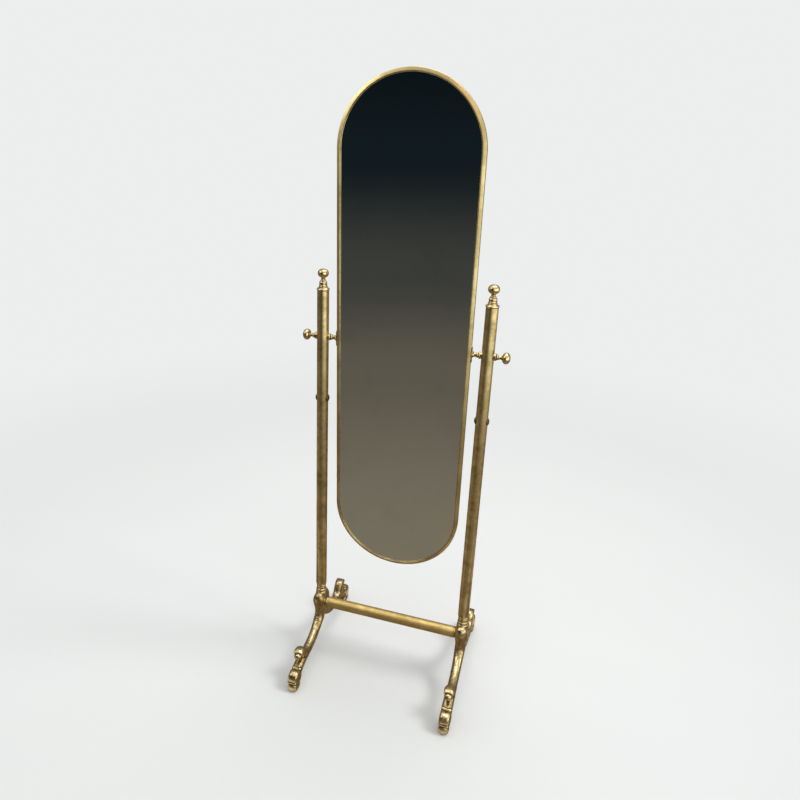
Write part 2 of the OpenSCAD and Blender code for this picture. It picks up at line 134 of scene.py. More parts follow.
# %% Helpers for materials and node groups
def fill(tree, node, inputs):
    """Gives inputs of a node, by name or number, their values. A value is a number, a
    vector, a colour or another node's output."""
    for key, value in dict(inputs).items():
        if isinstance(value, bpy.types.NodeSocket):
            tree.links.new(value, node.inputs[key])
        else:
            node.inputs[key].default_value = value


def add(tree, kind, inputs=(), **settings):
    """A shader node of a kind in a tree, with its settings made, then its inputs filled."""
    node = tree.nodes.new("ShaderNode" + kind)
    for key, value in settings.items():
        setattr(node, key, value)
    fill(tree, node, inputs)
    return node


def maths(tree, operation, a, b=0.0, c=0.0):
    """The output of a Math node that works on up to three numbers or outputs."""
    return add(tree, "Math", {0: a, 1: b, 2: c}, operation=operation).outputs[0]


def blend(tree, factor, a, b):
    """A colour from a Mix node: a where factor is 0, b where it is 1. Inputs 6 and 7 and
    output 2 are that node's colours."""
    return add(tree, "Mix", {0: factor, 6: a, 7: b}, data_type="RGBA").outputs[2]


def ramp(tree, value, low, high, way="SMOOTHSTEP"):
    """The value brought from the range low to high into 0 to 1, smoothly unless told."""
    limits = {"Value": value, "From Min": low, "From Max": high}
    return add(tree, "MapRange", limits, interpolation_type=way).outputs["Result"]


def noise(tree, place, scale, detail, roughness=0.5):
    """The grey value of a noise texture."""
    return add(tree, "TexNoise", {"Vector": place, "Scale": scale, "Detail": detail,
                                  "Roughness": roughness}).outputs[0]


def new_group(name, inputs, outputs):
    """An empty shader node group and its two end nodes. inputs is a list of (name,
    kind, default) and outputs a list of (name, kind)."""
    tree = bpy.data.node_groups.new(name, "ShaderNodeTree")
    for label, kind, default in inputs:
        socket = tree.interface.new_socket(label, in_out="INPUT", socket_type=kind)
        socket.default_value = default
    for label, kind in outputs:
        tree.interface.new_socket(label, in_out="OUTPUT", socket_type=kind)
    return tree, tree.nodes.new("NodeGroupInput").outputs, tree.nodes.new("NodeGroupOutput")


def colour(red, green, blue):
    """A colour as seen on a screen, 0 to 255, turned into the linear light of shaders."""
    seen = np.array([red, green, blue]) / 255.0
    low = seen / 12.92
    high = ((seen + 0.055) / 1.055) ** 2.4
    return (*np.where(seen <= 0.04045, low, high).tolist(), 1.0)


print("a mid grey in linear light:", [round(v, 3) for v in colour(128, 128, 128)])

# %% [markdown]
# ## Two effects that every brass shares
# Worked metal keeps the marks of how it was made. A drawn tube has fine lines along it
# and a turned knob has rings round it, so the grain group stretches a noise along the
# work direction: a large number in its Stretch packs the lines tightly that way.

# %% Build the grain group
def build_grain():
    """Height = 0.6 of a fine noise and 0.4 of a coarser one, on stretched coordinates."""
    inputs = [("Vector", "NodeSocketVector", (0, 0, 0)),
              ("Stretch", "NodeSocketVector", (1, 1, 1))]
    tree, given, result = new_group("metal_grain", inputs, [("Height", "NodeSocketFloat")])
    stretched = add(tree, "VectorMath", {0: given["Vector"], 1: given["Stretch"]},
                    operation="MULTIPLY").outputs[0]
    fine = maths(tree, "MULTIPLY", noise(tree, stretched, 1.0, 3.0, 0.6), 0.6)
    coarse = noise(tree, stretched, 0.21, 2.0)
    fill(tree, result, {"Height": maths(tree, "MULTIPLY_ADD", coarse, 0.4, fine)})
    return tree


metal_grain = build_grain()
print("group", metal_grain.name, "with", len(metal_grain.nodes), "nodes")

# %% [markdown]
# Old brass isn't one colour. It is bright where hands and cloths rub it, brown in the
# hollows where polish never reaches, and clouded in between. The patina group mixes three
# colours by a cloudy noise and by Relief, which each piece carries as an attribute from
# -1 in a hollow to 1 on a ridge. It also puts out how tarnished a point is.

# %% Build the patina group
def build_patina():
    """Cloud = a broad noise and a smaller one. Tarnish = cloud, less on ridges and full
    in hollows. Colour goes from Fresh to Aged by cloud, then to Dark by hollow."""
    inputs = [("Vector", "NodeSocketVector", (0, 0, 0)),
              ("Relief", "NodeSocketFloat", 0.0),
              ("Fresh", "NodeSocketColor", (1, 1, 1, 1)),
              ("Aged", "NodeSocketColor", (1, 1, 1, 1)),
              ("Dark", "NodeSocketColor", (0, 0, 0, 1)),
              ("Broad Scale", "NodeSocketFloat", 14.0),
              ("Spot Scale", "NodeSocketFloat", 90.0),
              ("Spots", "NodeSocketFloat", 0.5)]
    outputs = [("Color", "NodeSocketColor"), ("Tarnish", "NodeSocketFloat")]
    tree, given, result = new_group("brass_patina", inputs, outputs)
    broad = ramp(tree, noise(tree, given["Vector"], given["Broad Scale"], 3.0), 0.34, 0.68)
    spots = ramp(tree, noise(tree, given["Vector"], given["Spot Scale"], 5.0, 0.65), 0.40, 0.66)
    cloud = maths(tree, "MULTIPLY", broad, 0.55)
    cloud = maths(tree, "MULTIPLY_ADD", spots, given["Spots"], cloud)
    ridge = ramp(tree, given["Relief"], 0.05, 0.9)
    hollow = ramp(tree, maths(tree, "MULTIPLY", given["Relief"], -1.0), 0.04, 0.85)
    worn = maths(tree, "MULTIPLY", cloud, maths(tree, "SUBTRACT", 1.0, ridge))
    base = blend(tree, worn, given["Fresh"], given["Aged"])
    grime = maths(tree, "MULTIPLY", hollow, maths(tree, "MULTIPLY_ADD", spots, 0.5, 0.6))
    grime = maths(tree, "MINIMUM", grime, 1.0)
    fill(tree, result, {"Color": blend(tree, grime, base, given["Dark"]),
                        "Tarnish": maths(tree, "MAXIMUM", worn, grime)})
    return tree


brass_patina = build_patina()
print("group", brass_patina.name, "with", len(brass_patina.nodes), "nodes")

# %% [markdown]
# ## Feeding the shader
# Every finish starts the same way, with an empty Principled shader and the coordinates of
# the piece itself, so that a pattern moves with it. The helpers below feed the shader and
# place the two groups. Copying the groups' nodes into every brass would work too, but then
# a change to one brass would leave the others behind.

# %% Helpers that finish a material
BUMP_STRENGTH = 0.5


def start_material(name):
    """A material with an empty Principled shader, its tree and the object coordinates."""
    material = bpy.data.materials.new(name)
    material.use_nodes = True
    tree = material.node_tree
    place = add(tree, "TexCoord").outputs["Object"]
    return material, tree, tree.nodes["Principled BSDF"], place


def set_surface(tree, shader, tint, dull, metallic=1.0):
    """Gives the shader its colour and roughness, and says how metallic it is."""
    fill(tree, shader, {"Base Color": tint, "Roughness": dull, "Metallic": metallic})


def add_bump(tree, shader, height, strength, distance):
    """Feeds a height through a Bump node to the shader's normal."""
    bump = add(tree, "Bump", {"Height": height, "Strength": strength, "Distance": distance})
    fill(tree, shader, {"Normal": bump.outputs["Normal"]})


def use_grain(tree, place, stretch):
    """The height of the grain group."""
    return add(tree, "Group", {"Vector": place, "Stretch": stretch},
               node_tree=metal_grain).outputs[0]


def use_patina(tree, place, relief, looks):
    """The colour and the tarnish of the patina group; looks fills its other inputs."""
    return add(tree, "Group", {"Vector": place, "Relief": relief, **looks},
               node_tree=brass_patina).outputs


def piece_relief(tree):
    """The relief that a piece's mesh carries."""
    return add(tree, "Attribute", attribute_name="relief").outputs["Fac"]


print("strength of a brass's bump:", BUMP_STRENGTH)

# %% [markdown]
# ## The brasses
# Brass is a metal, so its colour is the colour of its reflections and the shader's
# Metallic is 1. Each piece gets its own grain: lengthwise on the posts, the stretcher and
# the frame, rings on what was turned, and a soft cast skin on the feet. Tarnish makes the
# surface rougher, so highlights break up as they do on old metal.

# %% Make the brass materials
BRASS_FRESH = colour(226, 205, 158)
BRASS_AGED = colour(152, 131, 92)
BRASS_DARK = colour(56, 44, 28)
OLIVE_FRESH = colour(221, 204, 154)
OLIVE_AGED = colour(148, 129, 86)
STREAK_RELIEF = 1.6
STREAK_HEIGHT = 2.0
GRAIN_DULLS = 0.16


def make_brass(name, stretch, fresh=BRASS_FRESH, aged=BRASS_AGED, smooth=0.24, rough=0.46,
               depth=0.00006, spots=0.5, broad_scale=14.0, spot_scale=90.0, uv=None,
               streak=None):
    """Patina colour, roughness from smooth to rough by tarnish and grain, grain bump.
    Streaks are a second, broader grain that also acts as relief."""
    material, tree, shader, place = start_material(name)
    relief = piece_relief(tree)
    way = add(tree, "UVMap", uv_map=uv).outputs["UV"] if uv else place
    height = use_grain(tree, way, stretch)
    if streak:
        lines = maths(tree, "SUBTRACT", use_grain(tree, place, streak), 0.5)
        relief = maths(tree, "MULTIPLY_ADD", lines, STREAK_RELIEF, relief)
    looks = {"Fresh": fresh, "Aged": aged, "Dark": BRASS_DARK, "Broad Scale": broad_scale,
             "Spot Scale": spot_scale, "Spots": spots}
    tint, tarnish = use_patina(tree, place, relief, looks)
    dull = maths(tree, "MULTIPLY_ADD", tarnish, rough - smooth, smooth)
    dull = maths(tree, "MULTIPLY_ADD", maths(tree, "SUBTRACT", height, 0.5), GRAIN_DULLS, dull)
    set_surface(tree, shader, tint, dull)
    if streak:
        height = maths(tree, "MULTIPLY_ADD", lines, STREAK_HEIGHT, height)
    add_bump(tree, shader, height, BUMP_STRENGTH, depth)
    return material


post_brass = make_brass("post_brass", (700, 700, 5), fresh=OLIVE_FRESH, aged=OLIVE_AGED,
                        smooth=0.27, rough=0.40, spots=0.38, broad_scale=18.0,
                        spot_scale=60.0, streak=(260, 260, 3))
stretcher_brass = make_brass("stretcher_brass", (5, 700, 700),
                             fresh=colour(230, 206, 140), aged=colour(186, 156, 98),
                             smooth=0.44, rough=0.56, spots=0.30, spot_scale=60.0,
                             streak=(3, 260, 260))
turned_brass = make_brass("turned_brass", (60, 60, 900), smooth=0.11, rough=0.34)
side_turned_brass = make_brass("side_turned_brass", (900, 60, 60), smooth=0.11, rough=0.34)
frame_brass = make_brass("frame_brass", (6, 900, 1), fresh=OLIVE_FRESH, aged=OLIVE_AGED,
                         smooth=0.34, rough=0.46, depth=0.00003, spots=0.15,
                         uv="along_frame")
plug_brass = make_brass("plug_brass", (900, 60, 60), fresh=colour(120, 98, 62),
                        aged=colour(82, 64, 40), smooth=0.30, rough=0.50)
plate_brass = make_brass("plate_brass", (300, 300, 8), smooth=0.24, rough=0.44)
print("brasses:", len([m for m in bpy.data.materials if "brass" in m.name]))

# %% [markdown]
# Feet like these are cast in sand and then polished by hand. Their skin is slightly lumpy
# and pitted, so the bump here is a rounded noise with small dents, and the patina is
# stronger.

# %% Make the cast brass
def make_cast_brass():
    """Patina as on the other brasses; height = a soft lumpy noise less fine pits."""
    material, tree, shader, place = start_material("cast_brass")
    looks = {"Fresh": colour(218, 200, 156), "Aged": colour(146, 124, 82),
             "Dark": colour(46, 36, 22), "Broad Scale": 30.0, "Spot Scale": 140.0,
             "Spots": 0.55}
    tint, tarnish = use_patina(tree, place, piece_relief(tree), looks)
    lumps = noise(tree, place, 85.0, 2.0)
    pits = add(tree, "TexVoronoi", {"Vector": place, "Scale": 420.0}).outputs[0]
    pits = maths(tree, "SUBTRACT", 1.0, ramp(tree, pits, 0.0, 0.35))
    height = maths(tree, "MULTIPLY_ADD", pits, -0.06, lumps)
    set_surface(tree, shader, tint, maths(tree, "MULTIPLY_ADD", tarnish, 0.26, 0.17))
    add_bump(tree, shader, height, BUMP_STRENGTH, 0.0016)
    return material


cast_brass = make_cast_brass()
print("cast brass has", len(cast_brass.node_tree.nodes), "nodes")

# %% [markdown]
# ## Steel, glass, board and fibre
# The screws and studs are plated steel. The mirror is silvered glass: nearly all of its
# look is what it reflects, and what remains is a faint grey-green cast and a film of
# dust and wiping marks that barely raises its roughness. The board behind the glass is
# pressed wood fibre with a woven print on its rough face, and a fibre washer sits under
# each knob.

# %% Make the other materials
def make_steel():
    """Grey metal; roughness and colour vary by a cloudy noise."""
    material, tree, shader, place = start_material("fastener_steel")
    cloud = noise(tree, place, 160.0, 4.0)
    tint = blend(tree, ramp(tree, cloud, 0.35, 0.7), colour(176, 172, 160), colour(112, 104, 92))
    set_surface(tree, shader, tint, maths(tree, "MULTIPLY_ADD", cloud, 0.3, 0.2))
    add_bump(tree, shader, cloud, 0.2, 0.0002)
    return material


def make_mirror():
    """Silvering: a metal with a faint film that dulls it by a hundredth or two."""
    material, tree, shader, place = start_material("mirror_silver")
    film = ramp(tree, noise(tree, place, 7.0, 6.0, 0.7), 0.45, 0.8)
    tint = blend(tree, film, colour(240, 245, 242), colour(229, 235, 232))
    set_surface(tree, shader, tint, maths(tree, "MULTIPLY_ADD", film, 0.02, 0.004))
    return material


def make_board():
    """Pressed fibre: brown clouds and flecks, with a woven height of crossed waves."""
    material, tree, shader, place = start_material("backing_wood")
    cloud = ramp(tree, noise(tree, place, 9.0, 5.0), 0.3, 0.7)
    flecks = noise(tree, place, 420.0, 3.0, 0.7)
    base = blend(tree, cloud, colour(132, 96, 62), colour(104, 73, 46))
    tint = blend(tree, ramp(tree, flecks, 0.45, 0.75), base, colour(160, 126, 88))
    set_surface(tree, shader, tint, maths(tree, "MULTIPLY_ADD", flecks, 0.2, 0.66), 0.0)
    yarn = {"Vector": place, "Scale": 95.0, "Distortion": 0.6}
    waves = [add(tree, "TexWave", yarn, bands_direction=way).outputs["Fac"]
             for way in ("X", "Z")]
    height = maths(tree, "MULTIPLY_ADD", flecks, 0.6, maths(tree, "MAXIMUM", *waves))
    add_bump(tree, shader, height, 0.4, 0.0004)
    return material


def make_fibre():
    """Dark pressed fibre with fine flecks."""
    material, tree, shader, place = start_material("washer_fibre")
    flecks = noise(tree, place, 700.0, 3.0)
    tint = blend(tree, flecks, colour(38, 30, 24), colour(74, 58, 44))
    set_surface(tree, shader, tint, maths(tree, "MULTIPLY_ADD", flecks, 0.2, 0.6), 0.0)
    add_bump(tree, shader, flecks, 0.3, 0.0002)
    return material


fastener_steel = make_steel()
mirror_silver = make_mirror()
backing_wood = make_board()
washer_fibre = make_fibre()
print("materials so far:", len(bpy.data.materials))

# %% [markdown]
# ## From arrays to a piece
# Every new piece is worked out as arrays of points and faces. One function puts them into
# a mesh, turns the faces outwards, and says which body carries the piece, which packed
# nodes it stands for and which finish it takes.

# %% Helpers that make a piece from arrays
def signed_volume(points, faces):
    """A sixth of the sum of a . (b x c) over the triangles: positive if they face out."""
    fans = [(f[0], f[i], f[i + 1]) for f in faces for i in range(1, len(f) - 1)]
    a, b, c = (points[np.array(fans)[:, k]] for k in range(3))
    return float(np.sum(a * np.cross(b, c)) / 6)


def mesh_object(name, points, faces):
    """An object in the scene with a mesh of points and faces."""
    mesh = bpy.data.meshes.new(name)
    mesh.from_pydata(points.tolist(), [], faces)
    item = bpy.data.objects.new(name, mesh)
    bpy.context.scene.collection.objects.link(item)
    return item


def make_piece(name, points, faces, body, nodes, material, relief=None, uv=None,
               sharp=40):
    """A finished piece: its mesh in place, smooth shaded but for edges over sharp
    degrees, riding on a body in place of the named nodes."""
    if signed_volume(points, faces) < 0:
        faces = [face[::-1] for face in faces]
        uv = None if uv is None else [corners[::-1] for corners in uv]
    piece = mesh_object(name, points, faces)
    mesh = piece.data
    if relief is not None:
        layer = mesh.attributes.new("relief", "FLOAT", "POINT")
        layer.data.foreach_set("value", np.asarray(relief, dtype=np.float32))
    if uv is not None:
        layer = mesh.uv_layers.new(name="along_frame")
        layer.data.foreach_set("uv", np.array(uv, dtype=np.float32).ravel())
    mesh.shade_smooth()
    mesh.set_sharp_from_angle(angle=math.radians(sharp))
    mesh.materials.append(material)
    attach(piece, body)
    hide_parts(*nodes)
    print(f"{name}: {len(points)} points, {len(faces)} faces")


def grid_faces(rows, columns, loop_rows=False):
    """Four-sided faces between the rows and columns of a grid whose columns close into
    a ring, as lists of point numbers."""
    i = np.arange(rows if loop_rows else rows - 1)[:, None]
    j = np.arange(columns)[None, :]
    after = (j + 1) % columns
    above = (i + 1) % rows
    faces = np.stack([i * columns + j, i * columns + after,
                      above * columns + after, above * columns + j], axis=-1)
    return faces.reshape(-1, 4).tolist()


def closed_tube(rings, low, high):
    """Points and faces of a tube through rings of points, with a point at each end that
    closes it."""
    rows, columns = rings.shape[:2]
    j = np.arange(columns)
    after = (j + 1) % columns
    count = rows * columns
    last = count - columns
    cap_low = np.stack([np.full(columns, count), after, j], axis=-1)
    cap_high = np.stack([np.full(columns, count + 1), last + j, last + after], axis=-1)
    points = np.vstack([rings.reshape(-1, 3), low, high])
    return points, grid_faces(rows, columns) + cap_low.tolist() + cap_high.tolist()


def join(parts):
    """The points and faces of several parts as one list each."""
    start = np.cumsum([0] + [len(points) for points, _ in parts])
    faces = [[k + first for k in face] for first, (_, own) in zip(start, parts)
             for face in own]
    return np.vstack([points for points, _ in parts]), faces


print("faces of a tube of 3 rings of 8 points:", len(grid_faces(3, 8)))

# %% [markdown]
# ## Turning on a lathe
# A turner thinks in beads, drums and hollows, one after another along an axis. Here each
# is a radius as a function of the place along the axis, and the largest one wins, which
# leaves the crisp grooves that a tool leaves between beads. The outline is then sampled
# evenly along its own length and softened a little, as polishing does.

# %% Outline features of turned work, in millimetres
ROUND = 96


def bead(middle, radius, half, rise=None):
    """A half-round ring: radius - rise + rise * sqrt(1 - u^2), u from -1 to 1."""
    rise = half if rise is None else rise

    def shape(t):
        u = np.clip(1 - ((t - middle) / half) ** 2, 0, None)
        return np.where(u > 0, radius - rise + rise * np.sqrt(u), 0)
    return shape


def drum(start, end, radius):
    """A plain round length of one radius."""
    return lambda t: np.where((t >= start) & (t <= end), radius, 0)


def cove(start, radius_start, end, radius_end, sag):
    """A straight taper less a hollow of the given sag in its middle."""
    def shape(t):
        u = (t - start) / (end - start)
        bow = radius_start + (radius_end - radius_start) * u - sag * 4 * u * (1 - u)
        return np.where((u >= 0) & (u <= 1), bow, 0)
    return shape


def turned_outline(features, low, high, fine=0.02, step=0.35, soften=3):
    """Places along the axis and radii, in metres: the largest feature at each place,
    sampled every step along the outline and averaged with its neighbours."""
    t = np.arange(low, high + fine, fine)
    t = np.clip(t, low, high)
    radius = np.max([feature(t) for feature in features], axis=0)
    t = np.concatenate([[low], t, [high]])
    radius = np.concatenate([[0], radius, [0]])
    run = np.concatenate([[0], np.cumsum(np.hypot(np.diff(t), np.diff(radius)))])
    even = np.linspace(0, run[-1], int(run[-1] / step) + 2)
    t = np.interp(even, run, t)
    radius = np.interp(even, run, radius)
    for _ in range(soften):
        t[1:-1] = (t[:-2] + 2 * t[1:-1] + t[2:]) / 4
        radius[1:-1] = (radius[:-2] + 2 * radius[1:-1] + radius[2:]) / 4
    return t * MM, radius * MM


def outline_relief(radius, reach=9, depth=0.8):
    """How far each place stands out from the mean radius about it: 1 is depth mm out."""
    kernel = np.ones(2 * reach + 1) / (2 * reach + 1)
    padded = np.pad(radius, reach, mode="edge")
    mean = np.convolve(padded, kernel, mode="valid")
    return np.clip((radius - mean) / (depth * MM), -1, 1)


def revolve(along, radius):
    """Rings round the Z axis: point (i, j) is radius[i] from the axis at angle
    2 pi j / ROUND and along[i] up."""
    angle = 2 * np.pi * np.arange(ROUND) / ROUND
    return np.stack([radius[:, None] * np.cos(angle), radius[:, None] * np.sin(angle),
                     along[:, None] * np.ones(ROUND)], axis=-1)


def turned(features, low, high):
    """Points, faces and relief of a turned solid. Its outline starts and ends on the
    axis, where one point closes it."""
    along, radius = turned_outline(features, low, high)
    points, faces = closed_tube(revolve(along[1:-1], radius[1:-1]),
                                [0, 0, along[0]], [0, 0, along[-1]])
    relief = np.repeat(outline_relief(radius)[1:-1], ROUND)
    return points, faces, np.concatenate([relief, [0, 0]])


print("a bead 10 mm across is", float(bead(0, 5, 2)(np.array(0.0))) * 2, "mm wide at its middle")

# %% [markdown]
# ## Finials and base collars
# A finial is turned from one bar: a flange that covers the end of the tube, a step, a thin
# ring, a rounded bulge, a small bead, a slim neck and a flattened ball. The collar under
# each post has the same language of rings, with a flat flange at each end. Both could be
# drawn as curves and spun by a Screw modifier, but a list of features in millimetres reads
# like a turner's drawing and is easier to correct.

# %% Make the finials and the collars
FINIAL_HEIGHT = 57


def finial_features():
    """The finial's features from the top of the post upward, in millimetres."""
    return [bead(3.2, 17.2, 3.2), drum(3.2, 7.2, 13.8), cove(7.0, 13.8, 9.4, 11.2, 0.4),
            bead(10.6, 12.0, 1.4), drum(9, 17, 10.2), bead(14.2, 11.2, 1.1),
            bead(20.0, 10.6, 5.2, 4.0), bead(26.6, 7.8, 1.7), cove(23, 8.8, 29, 6.0, 0.6),
            cove(28, 5.8, 38, 8.0, 1.4), bead(45.4, 14.6, 11.1, 10.6), bead(34.8, 7.0, 1.1)]


def collar_features(height):
    """The collar's features from the hub upward, in millimetres."""
    return [drum(0, 2.1, 15.4), drum(0, height, 12.4), bead(6.4, 15.6, 2.9),
            cove(9.0, 13.6, 15, 12.9, 0.7), bead(0.58 * height, 14.3, 1.7),
            bead(0.80 * height, 15.0, 2.0), drum(height - 2.1, height, 15.6)]


hub_low, hub_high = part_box("right_hub")
HUB_TOP = hub_high.z
collar_height = (POST_BOTTOM - HUB_TOP) / MM
for side, sign in SIDES:
    points, faces, relief = turned(finial_features(), 0, FINIAL_HEIGHT)
    make_piece(f"{side}_finial_turned", points + [sign * POST_X, 0, POST_TOP], faces,
               "stand", [f"{side}_finial"], turned_brass, relief)
    points, faces, relief = turned(collar_features(collar_height), 0, collar_height)
    make_piece(f"{side}_collar_turned", points + [sign * POST_X, 0, HUB_TOP], faces,
               "stand", [f"{side}_base_collar"], turned_brass, relief)

# %% [markdown]
# ## Tubes
# The posts and the stretcher are drawn tubes with a wall of a millimetre and a half. A
# cylinder with a Solidify modifier would come close, but its ends would stay sharp. A tube
# here is a closed outline, up the outside and down the inside with a small broken edge at
# each end, carried round the axis. The outline closes on itself, so there are no poles.

# %% Make the posts, the stretcher and its ferrules
TUBE_WALL = 1.5
FERRULE_LENGTH = 4


def tube(length, outer, edge=0.35, gaps=40):
    """Points and faces of a tube up the Z axis: its wall's section runs up the outside,
    over a broken edge, and back down the inside. Sizes are in millimetres."""
    inner = outer - TUBE_WALL
    rise = np.linspace(edge, length - edge, gaps)
    along = np.concatenate([rise, [length, length], rise[::-1], [0, 0]])
    radius = np.concatenate([np.full(gaps, outer), [outer - edge, inner + edge],
                             np.full(gaps, inner), [inner + edge, outer - edge]])
    points = revolve(along * MM, radius * MM).reshape(-1, 3)
    return points, grid_faces(len(radius), ROUND, loop_rows=True)


def to_x_axis(points, sign, start_x, height):
    """Turns a piece drawn up the Z axis to run outward along X on one side."""
    x = sign * (start_x + points[:, 2])
    return np.stack([x, points[:, 1], height + points[:, 0]], axis=-1)


for side, sign in SIDES:
    points, faces = tube((POST_TOP - POST_BOTTOM) / MM, POST_R_MM)
    make_piece(f"{side}_post_tube", points + [sign * POST_X, 0, POST_BOTTOM], faces,
               "stand", [f"{side}_post"], post_brass)

rail_low, rail_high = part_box("stretcher")
RAIL_Z = (rail_low.z + rail_high.z) / 2
RAIL_R = (rail_high.z - rail_low.z) / 2 / MM
RAIL_HALF = rail_high.x
points, faces = tube(2 * RAIL_HALF / MM, RAIL_R)
make_piece("stretcher_tube", to_x_axis(points, 1, -RAIL_HALF, RAIL_Z), faces,
           "stand", ["stretcher"], stretcher_brass)
for side, sign in SIDES:
    features = [bead(1.0, RAIL_R + 0.4, 1.0), bead(3.0, RAIL_R + 0.4, 1.0),
                drum(0.2, 3.8, RAIL_R - 0.6)]
    points, faces, relief = turned(features, 0, FERRULE_LENGTH)
    make_piece(f"{side}_ferrule_turned", to_x_axis(points, sign, RAIL_HALF, RAIL_Z), faces,
               "stand", [f"{side}_ferrule"], side_turned_brass, relief)

# %% [markdown]
# ## Washers and plugs that sit on a round post
# A flat washer can't sit on a tube, so these have one face hollowed to the tube's round.
# Across the post, a point y from its middle lies sqrt(R^2 - y^2) out from its axis. The
# pieces are grids of rings whose seat follows that curve, while the outer face is flat on
# a washer and domed on a plug. A boolean with the post would cut the same seat, but with
# slivers along its rim.

# %% Make the saddle washers and the plugs
MIDDLE_R = 0.01
PLUG_RISE = 4.0
PLUG_FILLET = 0.3
OUTER_SHARE = 0.86
INNER_SHARE = 0.9


def seated(radius, face, fillet, sides=72):
    """A closed piece of rings from the seat's middle out to the rim, up the side and
    over the face, in millimetres: the distance out is seat * (1 - v) + face * v. face is
    a function of the distance from the middle, which one point on each side closes."""
    turn = np.linspace(0, np.pi / 2, 6)
    seat_r = np.linspace(MIDDLE_R, radius - 0.3, 8)
    rim_r = np.concatenate([[radius] * 4, radius - fillet * (1 - np.cos(turn))])
    rim_v = np.concatenate([[0.04, 0.3, 0.6, 0.8], 1 - 0.14 * (1 - np.sin(turn))])
    face_r = np.linspace(radius - fillet, MIDDLE_R, 10)[1:]
    ring = np.concatenate([seat_r, rim_r, face_r])[:, None]
    share = np.concatenate([np.zeros(8), rim_v, np.ones(9)])[:, None]
    angle = 2 * np.pi * np.arange(sides)[None, :] / sides
    across = ring * np.cos(angle)
    seat = np.sqrt(POST_R_MM ** 2 - across ** 2)
    out = seat * (1 - share) + face(ring) * share
    grid = np.stack([ring * np.sin(angle), across, out], axis=-1) * MM
    return closed_tube(grid[1:-1], grid[0].mean(axis=0), grid[-1].mean(axis=0))


def flat(level):
    """A flat face at a level out from the post's axis."""
    return lambda r: level + 0 * r


def dome(radius, rise):
    """A cap of a sphere, rise high over a circle of the given radius, on the post."""
    cap = (radius ** 2 + rise ** 2) / (2 * rise)
    return lambda r: POST_R_MM + rise - cap + np.sqrt(cap ** 2 - r ** 2)


outer_low, outer_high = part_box("right_outer_saddle")
inner_low, inner_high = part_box("right_inner_saddle")
plug_low, plug_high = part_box("right_post_plugs")
OUTER_FACE = (outer_high.x - POST_X) / MM
OUTER_R = OUTER_SHARE * ((outer_high.z - outer_low.z) / 2 / MM)
INNER_FACE = (POST_X - inner_low.x) / MM
INNER_R = INNER_SHARE * ((inner_high.z - inner_low.z) / 2 / MM)
PLUG_Z = (plug_low.z + plug_high.z) / 2
PLUG_R = (plug_high.z - plug_low.z) / 2 / MM
WASHERS = (("outer", 1, OUTER_R, OUTER_FACE, 1.6), ("inner", -1, INNER_R, INNER_FACE, 0.9))
for side, sign in SIDES:
    for where, way, radius, level, fillet in WASHERS:
        points, faces = seated(radius, flat(level), fillet)
        points = to_x_axis(points, way * sign, way * POST_X, PIVOT_Z)
        make_piece(f"{side}_{where}_saddle_washer", points, faces, "stand",
                   [f"{side}_{where}_saddle"], side_turned_brass)
    points, faces = seated(PLUG_R, dome(PLUG_R, PLUG_RISE), PLUG_FILLET)
    outward = to_x_axis(points, sign, POST_X, PLUG_Z)
    inward = to_x_axis(points, -sign, -POST_X, PLUG_Z)
    points, faces = join([(outward, faces), (inward, [face[::-1] for face in faces])])
    make_piece(f"{side}_domed_plugs", points, faces, "stand",
               [f"{side}_post_plugs"], plug_brass)

# %% [markdown]
# ## Clamp knobs and spindles
# A clamp knob has a bead against its washer, a slim neck, a hollow flare and a flattened
# ball to grip. On the inner side a spindle of the same family joins the post to the
# frame: a flare against the pivot plate, a neck, a bead, and a rim against the washer.
# Both are drawn upright as the finials are and then laid along the pivot line, so one
# lathe serves every turned piece.

# %% Make the knobs and the spindles
KNOB_LENGTH = 34


def knob_features():
    """The knob's features outward from its washer, in millimetres."""
    return [bead(1.7, 7.4, 1.7), drum(0, 1.2, 6.9), cove(3.0, 5.8, 12.4, 5.0, 0.5),
            bead(4.6, 6.4, 0.7), cove(12, 5.0, 17.4, 11.2, 1.2), bead(17.6, 12.4, 0.9),
            bead(23.6, 15, 10.4, 13.8)]


def spindle_features(length):
    """The spindle's features from the pivot plate to the inner washer."""
    return [drum(0, 1.0, 9.4), cove(1.0, 9.2, 9.0, 5.5, 1.5), drum(8, length - 8.5, 5.4),
            bead(length - 7.2, 7.4, 2.2), cove(length - 5.4, 6.0, length - 2, 7.6, 0.5),
            bead(length - 1.9, 9.5, 1.9)]


KNOB_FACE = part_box("right_thrust_washer")[1].x
PLATE_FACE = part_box("right_pivot_plate")[1].x
spindle_length = (inner_low.x - PLATE_FACE) / MM
for side, sign in SIDES:
    points, faces, relief = turned(knob_features(), 0, KNOB_LENGTH)
    make_piece(f"{side}_knob_turned", to_x_axis(points, sign, KNOB_FACE, PIVOT_Z), faces,
               f"{side}_knob", [f"{side}_knob"], side_turned_brass, relief)
    points, faces, relief = turned(spindle_features(spindle_length), 0, spindle_length)
    make_piece(f"{side}_spindle_turned", to_x_axis(points, sign, PLATE_FACE, PIVOT_Z),
               faces, "mirror", [f"{side}_spindle"], side_turned_brass,
               relief)

# %% [markdown]
# ## The mirror's frame
# The frame is one brass strip bent round a long oval: two straight sides and two half
# circles. Its section has an outer wall, a front band that slopes back to the outer edge,
# a fine groove beside the inner lip, and softly broken corners. The slope matters: it
# turns the band's reflection outwards, so each part of the bend reflects another
# direction. The section is carried round the oval. A bevelled curve could do that too, but
# arrays make it easy to keep the distance travelled as a UV map, so that the grain
# follows the strip round the bends.

